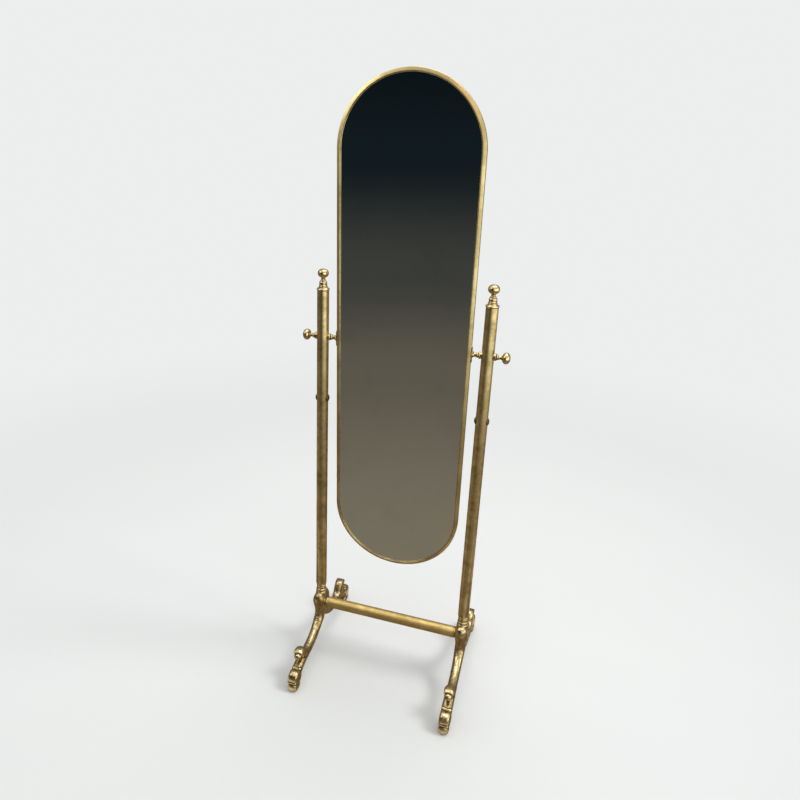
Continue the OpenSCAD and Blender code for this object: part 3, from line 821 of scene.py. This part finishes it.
# %% Make the frame
MIRROR_LEAN = math.radians(2)
PIVOT_OFFSET = 9.5
STRAIGHT_HALF = 491.5
FRAME_R = 181.0
SIDE_STEPS = 24
ARC_STEPS = 96
BAND_START = 172.9
BAND_WIDTH = 7.2
BAND_FRONT = -8.75
BAND_FALL = 2.3
EDGE_R = 180.4
GROOVE_R = 172.0
FRONT_LIMIT = -4.8


def lean(points):
    """Turns points of the upright mirror about the pivot line by its lean."""
    up = points[:, 2] - PIVOT_Z
    y = points[:, 1] * math.cos(MIRROR_LEAN) - up * math.sin(MIRROR_LEAN)
    z = points[:, 1] * math.sin(MIRROR_LEAN) + up * math.cos(MIRROR_LEAN) + PIVOT_Z
    return np.stack([points[:, 0], y, z], axis=-1)


def arc(middle_r, middle_y, radius, start, end, steps):
    """Points of a section on a circular arc between two angles in degrees."""
    angle = np.radians(np.linspace(start, end, steps))
    return np.stack([middle_r + radius * np.cos(angle),
                     middle_y + radius * np.sin(angle)], axis=-1)


def wall(distance, start, end, count):
    """Points of a section straight back at one distance from the centre line."""
    return np.stack([np.full(count, distance), np.linspace(start, end, count)], axis=-1)


def frame_outline():
    """The section as (distance from the oval's centre line, depth), going round: the
    inner lip, the groove, the sloping band, the outer wall and back up its inside."""
    u = np.linspace(0, 1, 15)
    slope = BAND_FRONT + BAND_FALL * (0.75 * u + 0.25 * u ** 2)
    return np.vstack([
        arc(170.5, -6.5, 0.5, 90, 270, 7), [[171.5, -7.1], [171.9, -7.0], [172.1, -7.2]],
        [[172.2, -7.9], [172.35, -8.45], [172.6, -8.7]],
        np.stack([BAND_START + BAND_WIDTH * u, slope], axis=-1),
        arc(179.97, -5.55, 0.9, 290, 360, 7), wall(180.87, -5.2, 6.6, 5),
        arc(180.37, 7.5, 0.5, 0, 90, 5), arc(178.5, 7.5, 0.5, 90, 180, 5),
        wall(178.0, 6, -5.2, 4), [[177.7, -6.0], [174.0, -6.0]]])


def oval_path():
    """Directions and centres round the oval: up the right side, over the top, down the
    left side and round the bottom. Returns angle, centre height and distance run."""
    up = np.linspace(-STRAIGHT_HALF, STRAIGHT_HALF, SIDE_STEPS, endpoint=False)
    over = np.linspace(0, np.pi, ARC_STEPS, endpoint=False)
    angle = np.concatenate([np.zeros(SIDE_STEPS), over,
                            np.full(SIDE_STEPS, np.pi), over + np.pi])
    centre = np.concatenate([up, np.full(ARC_STEPS, STRAIGHT_HALF),
                             -up, np.full(ARC_STEPS, -STRAIGHT_HALF)])
    step = np.hypot(np.diff(FRAME_R * np.cos(angle)),
                    np.diff(centre + FRAME_R * np.sin(angle)))
    return angle, centre, np.concatenate([[0], np.cumsum(step)])


def make_frame():
    """Point (i, j): the section's point j at step i of the path. Each face's UV is the
    distance run along the oval and the distance run round the section."""
    section = frame_outline()
    angle, centre, run = oval_path()
    out = section[None, :, 0]
    x = out * np.cos(angle)[:, None]
    z = centre[:, None] + out * np.sin(angle)[:, None] - PIVOT_OFFSET
    y = np.broadcast_to(section[None, :, 1], x.shape)
    points = np.stack([x, y, z], axis=-1).reshape(-1, 3) * MM + [0, 0, PIVOT_Z]
    rows, columns = len(angle), len(section)
    faces = grid_faces(rows, columns, loop_rows=True)
    closed = np.vstack([section, section[:1]])
    around = np.concatenate([[0], np.cumsum(np.hypot(*np.diff(closed, axis=0).T))])
    run = np.append(run, run[-1] + FRAME_R * np.pi / ARC_STEPS)
    i = np.repeat(np.arange(rows), columns)
    j = np.tile(np.arange(columns), rows)
    corners = [(i, j), (i, j + 1), (i + 1, j + 1), (i + 1, j)]
    uv = np.stack([np.stack([run[a], around[b]], axis=-1) for a, b in corners], axis=1)
    front = section[:, 1] < FRONT_LIMIT
    worn = 0.3 * np.exp(-((section[:, 0] - EDGE_R) / 0.5) ** 2) * front
    seam = 0.5 * np.exp(-((section[:, 0] - GROOVE_R) / 0.3) ** 2) * front
    relief = np.tile(worn - seam, rows)
    return lean(points), faces, (uv * MM).tolist(), relief


points, faces, uv, relief = make_frame()
make_piece("mirror_frame_strip", points, faces, "mirror", ["mirror_frame"],
           frame_brass, relief, uv)

# %% [markdown]
# ## Casting
# A cast foot has no seams: shapes flow into each other with soft hollows. It is made as a
# founder's pattern maker would, from simple overlapping parts. A voxel remesh then draws
# one skin round them all, and smoothing fills the corners as wax does. The parts are
# bars bent along a path and pillows, which are boxes or barrels with rounded faces.

# %% Parts of a casting
GROOVE_TURN = 1.08
GROOVE_WIDTH = 0.13


def smooth_path(knots, count):
    """Points along a curve through the knots, each part a cubic whose slope at a knot is
    half the step from the knot before to the knot after."""
    knots = np.asarray(knots, dtype=float)
    slope = np.gradient(knots, axis=0)
    t = np.linspace(0, len(knots) - 1, count)
    i = np.minimum(t.astype(int), len(knots) - 2)
    u = (t - i)[:, None]
    a = (1 + 2 * u) * (1 - u) ** 2 * knots[i] + u * (1 - u) ** 2 * slope[i]
    b = u * u * (3 - 2 * u) * knots[i + 1] + u * u * (u - 1) * slope[i + 1]
    return a + b


def superellipse(turn, power):
    """How far out a superellipse of size 1 lies at each turn."""
    fold = np.abs(np.cos(turn)) ** power + np.abs(np.sin(turn)) ** power
    return fold ** (-1 / power)


def bent_bar(knots, tall, wide, power=2.0, groove=0.0, count=90, sides=56):
    """A bar along a path in the plane of the leg. Its section is a superellipse, tall in
    the plane and wide across it, with a groove along each side. Each measure is one
    number or one for each knot. Columns of points are (out, across, up)."""
    path = smooth_path(knots, count)
    at = np.linspace(0, 1, count)
    tall, wide, power, groove = (
        np.interp(at, np.linspace(0, 1, np.size(v)), np.atleast_1d(v))[:, None]
        for v in (tall, wide, power, groove))
    run = np.gradient(path, axis=0)
    run = run / np.linalg.norm(run, axis=1, keepdims=True)
    turn = 2 * np.pi * np.arange(sides)[None, :] / sides
    from_top = np.minimum(turn, 2 * np.pi - turn)
    cut = 1 - groove * np.exp(-((from_top - GROOVE_TURN) / GROOVE_WIDTH) ** 2)
    size = superellipse(turn, power) * cut
    rise = tall * size * np.cos(turn)
    out = path[:, 0:1] - run[:, 1:2] * rise
    up = path[:, 1:2] + run[:, 0:1] * rise
    grid = np.stack([out, wide * size * np.sin(turn), up], axis=-1)
    return closed_tube(grid, *([path[k, 0], 0, path[k, 1]] for k in (0, -1)))


def pillow(out, up, size_out, size_up, half_width, power=4.0, section=2.0, sides=48):
    """A rounded body about an axis across the leg. Across it is half_width * sin v to
    the power 2 / power, and its section, a superellipse, shrinks as cos v does."""
    v = np.linspace(-np.pi / 2, np.pi / 2, 26)[1:-1, None]
    turn = 2 * np.pi * np.arange(sides)[None, :] / sides
    reach = np.cos(v) ** (2 / power) * superellipse(turn, section)
    across = half_width * np.sign(np.sin(v)) * np.abs(np.sin(v)) ** (2 / power)
    grid = np.stack([out + size_out * reach * np.cos(turn),
                     np.broadcast_to(across, reach.shape),
                     up + size_up * reach * np.sin(turn)], axis=-1)
    return closed_tube(grid, [out, -half_width, up], [out, half_width, up])


corner = float(superellipse(math.pi / 4, 4))
print("a superellipse of power 4 reaches", round(corner, 2), "at its corners")

# %% [markdown]
# The parts still cut through each other, so one skin is drawn round them. Joining them with
# booleans would keep hard seams. A voxel remesh flows over them instead, and a few rounds
# of smoothing soften its steps. Slow waves then move the skin, as filing by hand leaves it,
# and its relief is measured for the patina.

# %% Draw one skin and finish it by hand
FILE_WAVES = 9


def cast(parts, voxel=0.9, polish=5, bore=None):
    """One skin round closed parts in millimetres: a voxel remesh, a bore if one is
    given, and smoothing. Returns its points in metres and its four-sided faces."""
    points, faces = join(parts)
    work = mesh_object("pattern", points * MM, faces)
    work.modifiers.new("skin", "REMESH").voxel_size = voxel * MM
    if bore is not None:
        cutter = mesh_object("drill", bore[0] * MM, bore[1])
        drill = work.modifiers.new("bore", "BOOLEAN")
        drill.operation = "DIFFERENCE"
        drill.object = cutter
        work.modifiers.new("new_skin", "REMESH").voxel_size = voxel * MM
    work.modifiers.new("polish", "SMOOTH").iterations = polish
    bpy.context.view_layer.update()
    done = work.evaluated_get(bpy.context.evaluated_depsgraph_get()).to_mesh()
    points = np.empty(len(done.vertices) * 3)
    done.vertices.foreach_get("co", points)
    corners = np.empty(len(done.loops), dtype=int)
    done.loops.foreach_get("vertex_index", corners)
    bpy.data.objects.remove(work)
    if bore is not None:
        bpy.data.objects.remove(cutter)
    return points.reshape(-1, 3), corners.reshape(-1, 4)


def gather(index, values, count):
    """For each of count points, the sum of the rows of values that its number indexes."""
    return np.stack([np.bincount(index, column, count) for column in values.T], axis=-1)


def skin_normals(points, faces):
    """The sum of the crossed diagonals of the faces round each point, made unit length."""
    crossed = np.cross(points[faces[:, 2]] - points[faces[:, 0]],
                       points[faces[:, 3]] - points[faces[:, 1]])
    total = gather(faces.ravel(), np.repeat(crossed, 4, axis=0), len(points))
    return total / np.linalg.norm(total, axis=1, keepdims=True)


def skin_relief(points, faces, rounds=26, depth=0.55):
    """How far each point stands out from its surroundings averaged over many rounds,
    along its normal: 1 is depth millimetres proud, -1 as deep in a hollow."""
    edges = np.vstack([faces[:, [k, (k + 1) % 4]] for k in range(4)])
    count = np.bincount(edges.ravel(), minlength=len(points))[:, None]
    mean = points.copy()
    for _ in range(rounds):
        total = gather(edges[:, 0], mean[edges[:, 1]], len(points))
        total += gather(edges[:, 1], mean[edges[:, 0]], len(points))
        mean = 0.4 * mean + 0.6 * total / count
    proud = np.sum((points - mean) * skin_normals(points, faces), axis=1)
    return np.clip((proud - np.median(proud)) / (depth * MM), -1, 1)


def hand_finish(points, faces, depth=0.12):
    """Moves the skin in and out by a sum of slow waves in fixed random directions, as
    the unevenness of a casting filed by hand."""
    random = np.random.default_rng(7)
    normals = skin_normals(points, faces)
    wave = np.zeros(len(points))
    for _ in range(FILE_WAVES):
        direction = random.normal(size=3)
        direction /= np.linalg.norm(direction)
        length = random.uniform(7, 19) * MM
        wave += np.sin(2 * np.pi * (points @ direction) / length + random.uniform(0, 6.3))
    moved = points + normals * (depth * MM * wave / math.sqrt(FILE_WAVES))[:, None]
    moved[:, 2] = np.maximum(moved[:, 2], 0)
    return moved


print("waves in a skin filed by hand:", FILE_WAVES)

# %% [markdown]
# ## A leg
# Each leg sweeps down from the hub as a rounded bar with a groove along each side, curls
# up into a short scroll that ends in a square lip, and continues under it as a foot. The
# foot has a neck with a cross bar, a broad knuckle, and a rolled toe. A small ball
# fills the hollow of the scroll. Sculpting would give the same kind of shape, but sizes in
# numbers can be corrected one by one. All four legs come from one pattern.

# %% Cast the leg
SWEEP_OUT = 120.0
SWEEP_UP = 62.0
SWEEP_R = 156.57
JOINT_OUT = 30.0
ROOT_LIFT = 2.4
FADE = 16.0


def sweep(out):
    """Height of the leg's middle line at a distance out: a circle resting on SWEEP_UP."""
    out = np.asarray(out, dtype=float)
    return SWEEP_UP + SWEEP_R - np.sqrt(SWEEP_R ** 2 - (out - SWEEP_OUT) ** 2)


def leg_parts():
    """The bars and pillows of a leg; out from the post, across, and up from the floor."""
    start = np.array([JOINT_OUT, 44, 58, 74, 90, 106, 120])
    lifted = sweep(start) + [ROOT_LIFT, 0.9, 0, 0, 0, 0, 0]
    arm = np.stack([start, lifted], axis=-1).tolist()
    scroll = [[132, 63.6], [142, 68.5], [149.5, 77], [154.5, 87.5], [161, 96], [170, 99.8],
              [180, 99.4]]
    tall = [12.8, 13.3, 13.8, 14.0, 13.8, 13.4, 13.2, 13, 12.8, 12.6, 12.4, 11.6, 8.4, 5.4]
    wide = [14.6, 14.0, 13.6, 13.4, 13.4, 13.4, 13.6, 13.8, 14, 14.2, 14.4, 14.4, 14.2, 13.8]
    power = [2, 2, 2.1, 2.2, 2.2, 2.2, 2.2, 2.3, 2.3, 2.3, 2.3, 2.4, 2.8, 4]
    groove = [0, 0.05, 0.09, 0.1, 0.1, 0.1, 0.1, 0.1, 0.1, 0.09, 0.08, 0.05, 0, 0]
    neck = [[100, 60], [120, 60.5], [140, 60], [160, 57.5], [178, 53], [196, 46]]
    return [bent_bar(arm + scroll, tall, wide, power, groove, count=150),
            bent_bar(neck, [9, 10.4, 11, 11.4, 11.8, 12], [13.2, 14, 14.6, 15, 15.2, 15.2],
                     2.5, 0.05),
            pillow(203.8, 38, 22.0, 21.2, 15.7, power=4.2, section=2.2),
            pillow(190.5, 57.4, 5.0, 4.0, 14.6, power=3.2),
            pillow(225.0, 33.4, 2.6, 2.4, 13.8, power=4.0),
            pillow(214.6, 14.4, 13.8, 14.2, 14.4, power=2.8, section=2.1),
            pillow(207, 8.5, 18, 8.5, 13.4, power=4, section=4),
            pillow(179.5, 89.6, 10.2, 10.0, 11.4, power=2)]


def make_casting(name, points, faces, sign, facing, node, relief):
    """A casting on one side, drawn as (out, across, up); facing is 1 if its out is
    towards the rear and -1 if it is towards the front."""
    placed = np.stack([sign * (POST_X + points[:, 1]), facing * points[:, 0],
                       points[:, 2]], axis=-1)
    make_piece(name, placed, faces.tolist(), "stand", [node], cast_brass,
               relief, sharp=70)


leg_points, leg_faces = cast(leg_parts())
leg_points = hand_finish(leg_points, leg_faces)
leg_relief = skin_relief(leg_points, leg_faces)
leg_relief *= np.clip((leg_points[:, 0] / MM - JOINT_OUT) / FADE, 0, 1)
print("leg pattern:", len(leg_points), "points, reach", leg_points[:, 0].max().round(4), "m")
for side, sign in SIDES:
    for end, facing in (("front", -1), ("rear", 1)):
        make_casting(f"{side}_{end}_leg_cast", leg_points, leg_faces, sign, facing,
                     f"{side}_{end}_leg", leg_relief)

# %% [markdown]
# ## A hub
# The hub carries the post, the two legs and the stretcher. It is a barrel with a full
# shoulder to the front and the rear, the roots of the two arms, and a short boss on the
# inner side for the stretcher. A counterbore on the outer side holds a socket screw. The
# hub is cast as the leg is, and it is bored before its last skin, so that the rim of the
# hole comes out as soft as the rest.

# %% Cast the hub
BOSS_LENGTH = 19.8
BOSS_R = 14.6
BARREL_OVER_POST = 2.6
SCREW_DEPTH = 8
SCREW_SEAT = POST_R_MM + BARREL_OVER_POST - SCREW_DEPTH
SCREW_HOLE_R = 6.6
DRILL_LENGTH = 24
HOLLOW_SHARE = 0.6


def right_way_out(points, faces):
    """The part with its faces turned outwards, so that a skin joins it to the others."""
    if signed_volume(points, faces) < 0:
        faces = [face[::-1] for face in faces]
    return points, faces


def along_stretcher(features, length, start, way):
    """A turned part in millimetres on the stretcher's line, from start across the hub
    in the direction of way."""
    points, faces, _ = turned(features, 0, length)
    points = points / MM
    placed = np.stack([points[:, 0], start + way * points[:, 2],
                       RAIL_Z / MM + points[:, 1]], axis=-1)
    return right_way_out(placed, faces)


def hub_parts():
    """Barrel, shoulders, arm roots and boss; out from the post, across, and up. Across
    is positive towards the outer side, so the boss points to negative."""
    low, high = hub_low.z / MM, hub_high.z / MM
    barrel = [bead(163, 18.6, 34, 9), cove(low, 7.5, 136, 13.5, -1.5),
              drum(high - 9, high, 15.4), bead(high - 3.4, 16.6, 2.4, 1.2)]
    points, faces, _ = turned(barrel, low, high)
    parts = [(points / MM, faces)]
    root = np.array([0, 8, 16, 24, JOINT_OUT + 0.3])
    root = np.stack([root, sweep(root) + [1.5, 3.0, 3.7, 3.1, ROOT_LIFT]], axis=-1)
    throat = [[13.6, 162], [13.0, 149], [12.6, 135], [13.4, 122], [17.0, 109.6],
              [23.8, 98.2], [30.3, 92.64]]
    bars = [bent_bar(root, [15, 14.6, 13.8, 13.2, 12.8], [16, 15.8, 15.4, 15.0, 14.6],
                     count=40),
            bent_bar(throat, [18.8, 17.0, 12.8, 10.6, 11.2, 12.4, 12.8],
                     [19.2, 18.2, 15.8, 14.4, 14.2, 14.4, 14.6], count=60)]
    for facing in (-1, 1):
        parts += [(points * [facing, 1, 1], faces) for points, faces in bars]
        parts.append(pillow(facing * 13.6, 164.5, 19.2, 25.5, 19.6, power=2.2, section=2.2))
    parts.append(along_stretcher([drum(0, BOSS_LENGTH, BOSS_R), bead(18.3, 15.4, 1.5)],
                                 BOSS_LENGTH, 0, -1))
    return [right_way_out(*part) for part in parts]


bore = along_stretcher([drum(0, DRILL_LENGTH, SCREW_HOLE_R)], DRILL_LENGTH, SCREW_SEAT, 1)
hub_points, hub_faces = cast(hub_parts(), voxel=0.8, polish=4, bore=bore)
hub_points = hand_finish(hub_points, hub_faces)
hub_relief = skin_relief(hub_points, hub_faces)
hub_relief = np.where(hub_relief < 0, HOLLOW_SHARE * hub_relief, hub_relief)
hub_relief *= np.clip((JOINT_OUT - np.abs(hub_points[:, 0]) / MM) / FADE, 0, 1)
hub_points[:, 2] = np.minimum(hub_points[:, 2], HUB_TOP)
for side, sign in SIDES:
    make_casting(f"{side}_hub_cast", hub_points, hub_faces, sign, 1, f"{side}_hub", hub_relief)

# %% [markdown]
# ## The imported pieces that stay
# The glass, the board, the tabs, the pivot plates, the thrust washers, the screws and the
# hidden studs have the right shape already. They keep their meshes and get the new
# finishes.

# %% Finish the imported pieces
FINISHES = {
    "mirror_glass": mirror_silver, "backing_board": backing_wood,
    "left_thrust_washer": washer_fibre, "right_thrust_washer": washer_fibre,
    "board_clips": plate_brass, "left_pivot_plate": plate_brass,
    "right_pivot_plate": plate_brass}
for name, node in frame["nodes"].items():
    finish = FINISHES.get(name, fastener_steel)
    for place in node.material_slots:
        place.material = finish
print("packed pieces with a new finish:", len(frame["nodes"]))

# %% [markdown]
# ## Floor, backdrop and light
# The object stands in a pale studio. The floor is a wide disc that takes light and shadow
# near the object and melts into the colour of the backdrop further out, so no horizon
# shows. A curved sheet of paper would hide it too, but only from one side. The backdrop's
# colour is shown to the camera, to reflections and through glass, while a softer white
# light fills the scene.

# %% Make the floor and the backdrop
STUDIO = colour(236, 238, 237)
FILL_LEVEL = 0.52
FLOOR_RINGS = np.array([0.4, 1, 2, 4, 8, 16, 32])
FLOOR_MELTS = (0.9, 3.4)


def show(tree, shader):
    """Links a shader's output to the end of a material."""
    fill(tree, tree.nodes["Material Output"], {"Surface": shader.outputs[0]})


def make_floor():
    """A disc of rings; its material goes from a lit surface to the backdrop's colour as
    the distance from the object grows."""
    points = np.vstack([revolve(0 * FLOOR_RINGS, FLOOR_RINGS).reshape(-1, 3), [0, 0, 0]])
    faces = [face[::-1] for face in grid_faces(len(FLOOR_RINGS), ROUND)]
    faces += [[k, (k + 1) % ROUND, len(points) - 1] for k in range(ROUND)]
    floor = mesh_object("studio_floor", points, faces)
    material, tree, surface, place = start_material("studio_floor")
    away = add(tree, "VectorMath", {0: place}, operation="LENGTH").outputs["Value"]
    tint = blend(tree, noise(tree, place, 1.3, 2.0), colour(232, 234, 233),
                 colour(228, 230, 229))
    set_surface(tree, surface, tint, 0.9, 0.0)
    fill(tree, surface, {"Specular IOR Level": 0.1})
    glow = add(tree, "Emission", {"Color": STUDIO, "Strength": 1.0})
    show(tree, add(tree, "MixShader", {
        0: ramp(tree, away, *FLOOR_MELTS), 1: surface.outputs[0], 2: glow.outputs[0]}))
    floor.data.materials.append(material)
    return floor


def make_world():
    """The backdrop's colour for camera, glossy and transmitted rays, and a dimmer white
    for all other light."""
    world = bpy.data.worlds.new("studio")
    bpy.context.scene.world = world
    world.use_nodes = True
    tree = world.node_tree
    tree.nodes.clear()
    ray = add(tree, "LightPath").outputs
    seen = maths(tree, "MAXIMUM", ray["Is Camera Ray"], ray["Is Glossy Ray"])
    seen = maths(tree, "MAXIMUM", seen, ray["Is Transmission Ray"])
    shown = add(tree, "Background", {"Color": STUDIO, "Strength": 1.0})
    dim = add(tree, "Background", {"Color": (1, 1, 1, 1), "Strength": FILL_LEVEL})
    mix = add(tree, "MixShader", {0: seen, 1: dim.outputs[0], 2: shown.outputs[0]})
    add(tree, "OutputWorld", {"Surface": mix.outputs[0]})


floor = make_floor()
make_world()
bpy.context.scene.view_settings.view_transform = "Standard"
print("floor reaches", round(floor.dimensions.x / 2), "m out")

# %% [markdown]
# Polished metal looks like what it reflects. A studio puts dark and tinted cards where
# only the reflections see them; these cards glow in their own colours, so they paint the
# reflections. Whole objects would do as well, but only their blurred tones would reach the
# brass, so a card's colour is a ramp of stops. The cards are hidden from the camera, cast
# no shadow and light nothing but the reflections; they give the mirror a painted depth and
# the brass painted highlights and a painted dark side.

# %% Helpers for the reflection cards
CARD_STEPS = 40


def gradient(tree, value, low, high, stops):
    """A colour that runs through the stops as the value goes from low to high."""
    node = add(tree, "ValToRGB", {0: ramp(tree, value, low, high, "LINEAR")})
    node.color_ramp.interpolation = "EASE"
    marks = node.color_ramp.elements
    for _ in stops[2:]:
        marks.new(0.5)
    for mark, (place_at, tint) in zip(marks, stops):
        mark.position = place_at
        mark.color = (*tint, 1.0)
    return node.outputs[0]


def start_card(name):
    """A material with no shader yet, its tree, the object coordinates, whole and split,
    and the direction from the object: 0 in front and positive to the right."""
    material, tree, shader, place = start_material(name)
    tree.nodes.remove(shader)
    split = add(tree, "SeparateXYZ", {0: place}).outputs
    turn = maths(tree, "ARCTAN2", split["X"], maths(tree, "MULTIPLY", split["Y"], -1.0))
    return material, tree, place, split, turn


def hump(tree, value, rise, fall):
    """1 between a soft rise and a soft fall, each given as a range, and 0 outside."""
    down = maths(tree, "SUBTRACT", 1.0, ramp(tree, value, *fall))
    return maths(tree, "MULTIPLY", ramp(tree, value, *rise), down)


def put_up_card(name, rims, look):
    """A band of faces between two rims about the object, each a radius and a height,
    that glows in its own colour and is seen by glossy rays and by nothing else."""
    angle = np.radians(np.linspace(-179.5, 179.5, CARD_STEPS + 1))
    points = [np.stack([radius * np.sin(angle), -radius * np.cos(angle),
                        height + 0 * angle], axis=-1) for radius, height in rims]
    faces = [[k, k + 1, k + CARD_STEPS + 2, k + CARD_STEPS + 1] for k in range(CARD_STEPS)]
    card = mesh_object(name, np.vstack(points), faces)
    material, tree, tint = look
    # The card glows in its colour: a painted reflection, and a painted highlight where the
    # colour is brighter than white.
    show(tree, add(tree, "Emission", {"Color": tint, "Strength": 1.0}))
    card.data.materials.append(material)
    for ray in ("camera", "diffuse", "transmission", "volume_scatter", "shadow"):
        setattr(card, f"visible_{ray}", False)
    print("reflection card:", card.name)


print("faces in a card:", CARD_STEPS)

# %% [markdown]
# One tall card runs all the way round and another covers the floor. Their colours change
# with direction, height and distance: dark where the mirror looks, a painted reflection of
# a dim room; painted highlights on the right for the posts and high on the left for the
# frame; brown near the floor, a painted reflection that darkens the feet; and pale just
# beyond the toes, a painted highlight on their tips.

# %% Put up the reflection cards
CARD_R = 2.2
WALL_TOP = 4.2
CARD_HOLE = 0.002
CARD_LIFT = 0.002
STOPS_TOP = 2.6
LOW_FADE = (0.0, 0.8)
UPPER_FADE = (1.7, 2.3)
SECTOR_LEFT = (math.radians(-42), math.radians(-30))
SECTOR_RIGHT = (math.radians(-2), math.radians(14))
TOE_NEAR = (0.216, 0.232)
TOE_FAR = (0.28, 0.36)
TOE_SIDE = (0.16, 0.20)
# Painted reflection colours, seen only in reflections. The low brown paints a dark floor on the
# sides of the feet, and the pale floor tint below it paints a highlight on the toe tips.
LOW_BROWN = (0.235, 0.172, 0.108, 1.0)
TOE_TIP_HIGHLIGHT = (0.86, 0.80, 0.70, 1.0)
# The mirror's stops paint a dim room into the mirror, brown low and dark above.
MIRROR_STOPS = [(0.0, (0.120, 0.102, 0.078)), (0.25, (0.050, 0.050, 0.045)),
                (0.5, (0.007, 0.012, 0.015)), (0.74, (0.003, 0.006, 0.008)),
                (1.0, (0.40, 0.40, 0.38))]
# The stops round about and above paint highlights brighter than white on the posts and the
# frame, a warm orange one among them, and a dark side on the brass elsewhere.
AROUND_STOPS = [(0.0, (0.26, 0.25, 0.23)), (0.20, (0.15, 0.14, 0.12)),
                (0.44, (0.14, 0.13, 0.115)), (0.515, (0.55, 0.57, 0.57)),
                (0.56, (1.05, 1.09, 1.06)), (0.62, (2.15, 2.16, 1.92)),
                (0.73, (2.25, 2.26, 1.96)), (0.81, (0.85, 0.84, 0.74)),
                (0.87, (0.28, 0.27, 0.24)), (1.0, (0.26, 0.25, 0.23))]
UPPER_STOPS = [(0.0, (0.45, 0.44, 0.42)), (0.25, (0.60, 0.58, 0.54)),
               (0.30, (2.50, 2.40, 2.06)), (0.44, (2.50, 2.40, 2.06)),
               (0.462, (0.55, 0.48, 0.43)), (0.51, (0.55, 0.45, 0.38)),
               (0.54, (1.30, 0.90, 0.50)), (0.60, (1.05, 0.80, 0.57)),
               (0.75, (0.80, 0.78, 0.72)), (1.0, (0.45, 0.44, 0.42))]
# The floor's stops paint the floor in front as the mirror shows it.
FLOOR_STOPS = [(0.0, (0.20, 0.172, 0.128)), (1.0, (0.120, 0.102, 0.078))]


def wall_reflection_paint():
    """Painted reflections. Colour by height in the sector that the mirror shows, a painted
    dim room, brown low and dark above. Elsewhere a colour by direction, with a painted
    highlight on the right for the posts, that becomes another colour by direction above,
    with a painted highlight high on the left for the frame, and fades to brown near the
    floor."""
    material, tree, _, split, turn = start_card("wall_card")
    shown = gradient(tree, split["Z"], 0.0, STOPS_TOP, MIRROR_STOPS)
    around = gradient(tree, turn, -math.pi, math.pi, AROUND_STOPS)
    upper = gradient(tree, turn, -math.pi, math.pi, UPPER_STOPS)
    around = blend(tree, ramp(tree, split["Z"], *LOW_FADE), LOW_BROWN, around)
    around = blend(tree, ramp(tree, split["Z"], *UPPER_FADE), around, upper)
    sector = hump(tree, turn, SECTOR_LEFT, SECTOR_RIGHT)
    return material, tree, blend(tree, sector, around, shown)


def floor_reflection_paint():
    """A painted floor reflection: warm grey in front, as the mirror shows it, a deeper brown
    at the sides that paints a dark side on the feet, and a pale patch beyond each toe that
    paints a highlight on its tip."""
    material, tree, place, split, turn = start_card("floor_card")
    away = add(tree, "VectorMath", {0: place}, operation="LENGTH").outputs["Value"]
    shown = gradient(tree, away, 0.3, CARD_R, FLOOR_STOPS)
    sector = maths(tree, "MULTIPLY", hump(tree, turn, SECTOR_LEFT, SECTOR_RIGHT),
                   ramp(tree, away, 0.3, 0.5))
    deep = maths(tree, "ABSOLUTE", split["Y"])
    wide = maths(tree, "ABSOLUTE", split["X"])
    toes = maths(tree, "MULTIPLY", hump(tree, deep, TOE_NEAR, TOE_FAR),
                 ramp(tree, wide, *TOE_SIDE))
    return material, tree, blend(tree, toes, blend(tree, sector, LOW_BROWN, shown), TOE_TIP_HIGHLIGHT)


put_up_card("wall_card", ((CARD_R, 0.0), (CARD_R, WALL_TOP)), wall_reflection_paint())
put_up_card("floor_card", ((CARD_HOLE, CARD_LIFT), (CARD_R, CARD_LIFT)), floor_reflection_paint())

# %% [markdown]
# A wide soft box overhead lights the floor and the tops of the rings. A broad sun from
# the right sends soft shadows to the left and stays out of the reflections, and a dim box
# on the left keeps the far side readable.

# %% Hang the lights
def soft_box(name, place, target, width, height, radiance):
    """A rectangular light that faces a target. Its power follows from the brightness of
    its face: power = radiance * pi * area."""
    data = bpy.data.lights.new(name, "AREA")
    data.shape = "RECTANGLE"
    data.size = width
    data.size_y = height
    data.energy = radiance * math.pi * width * height
    lamp = bpy.data.objects.new(name, data)
    back = np.array(place, dtype=float) - np.array(target, dtype=float)
    back /= np.linalg.norm(back)
    side = np.cross([0, 0, 1], back)
    side /= np.linalg.norm(side)
    put(lamp, side, np.cross(back, side), back, place)
    lamp.visible_camera = False


def soft_sun(name, strength, spread, turns):
    """A sun that casts soft shadows and stays out of the reflections. It shines straight
    down until it is turned, by the given degrees about X, Y and Z."""
    data = bpy.data.lights.new(name, "SUN")
    data.energy = strength
    data.angle = spread
    sun = bpy.data.objects.new(name, data)
    bpy.context.scene.collection.objects.link(sun)
    sun.rotation_euler = [math.radians(turn) for turn in turns]
    sun.visible_glossy = False


soft_box("overhead_box", (0.25, 0.3, 3.0), (0, 0, 0), 2.2, 2.2, 2.32)
soft_box("left_box", (-1.8, -0.5, 1.7), (0, 0, 0.9), 0.6, 1.2, 0.4)
soft_sun("soft_sun", 1.12, 0.35, (-3, 40, 0))
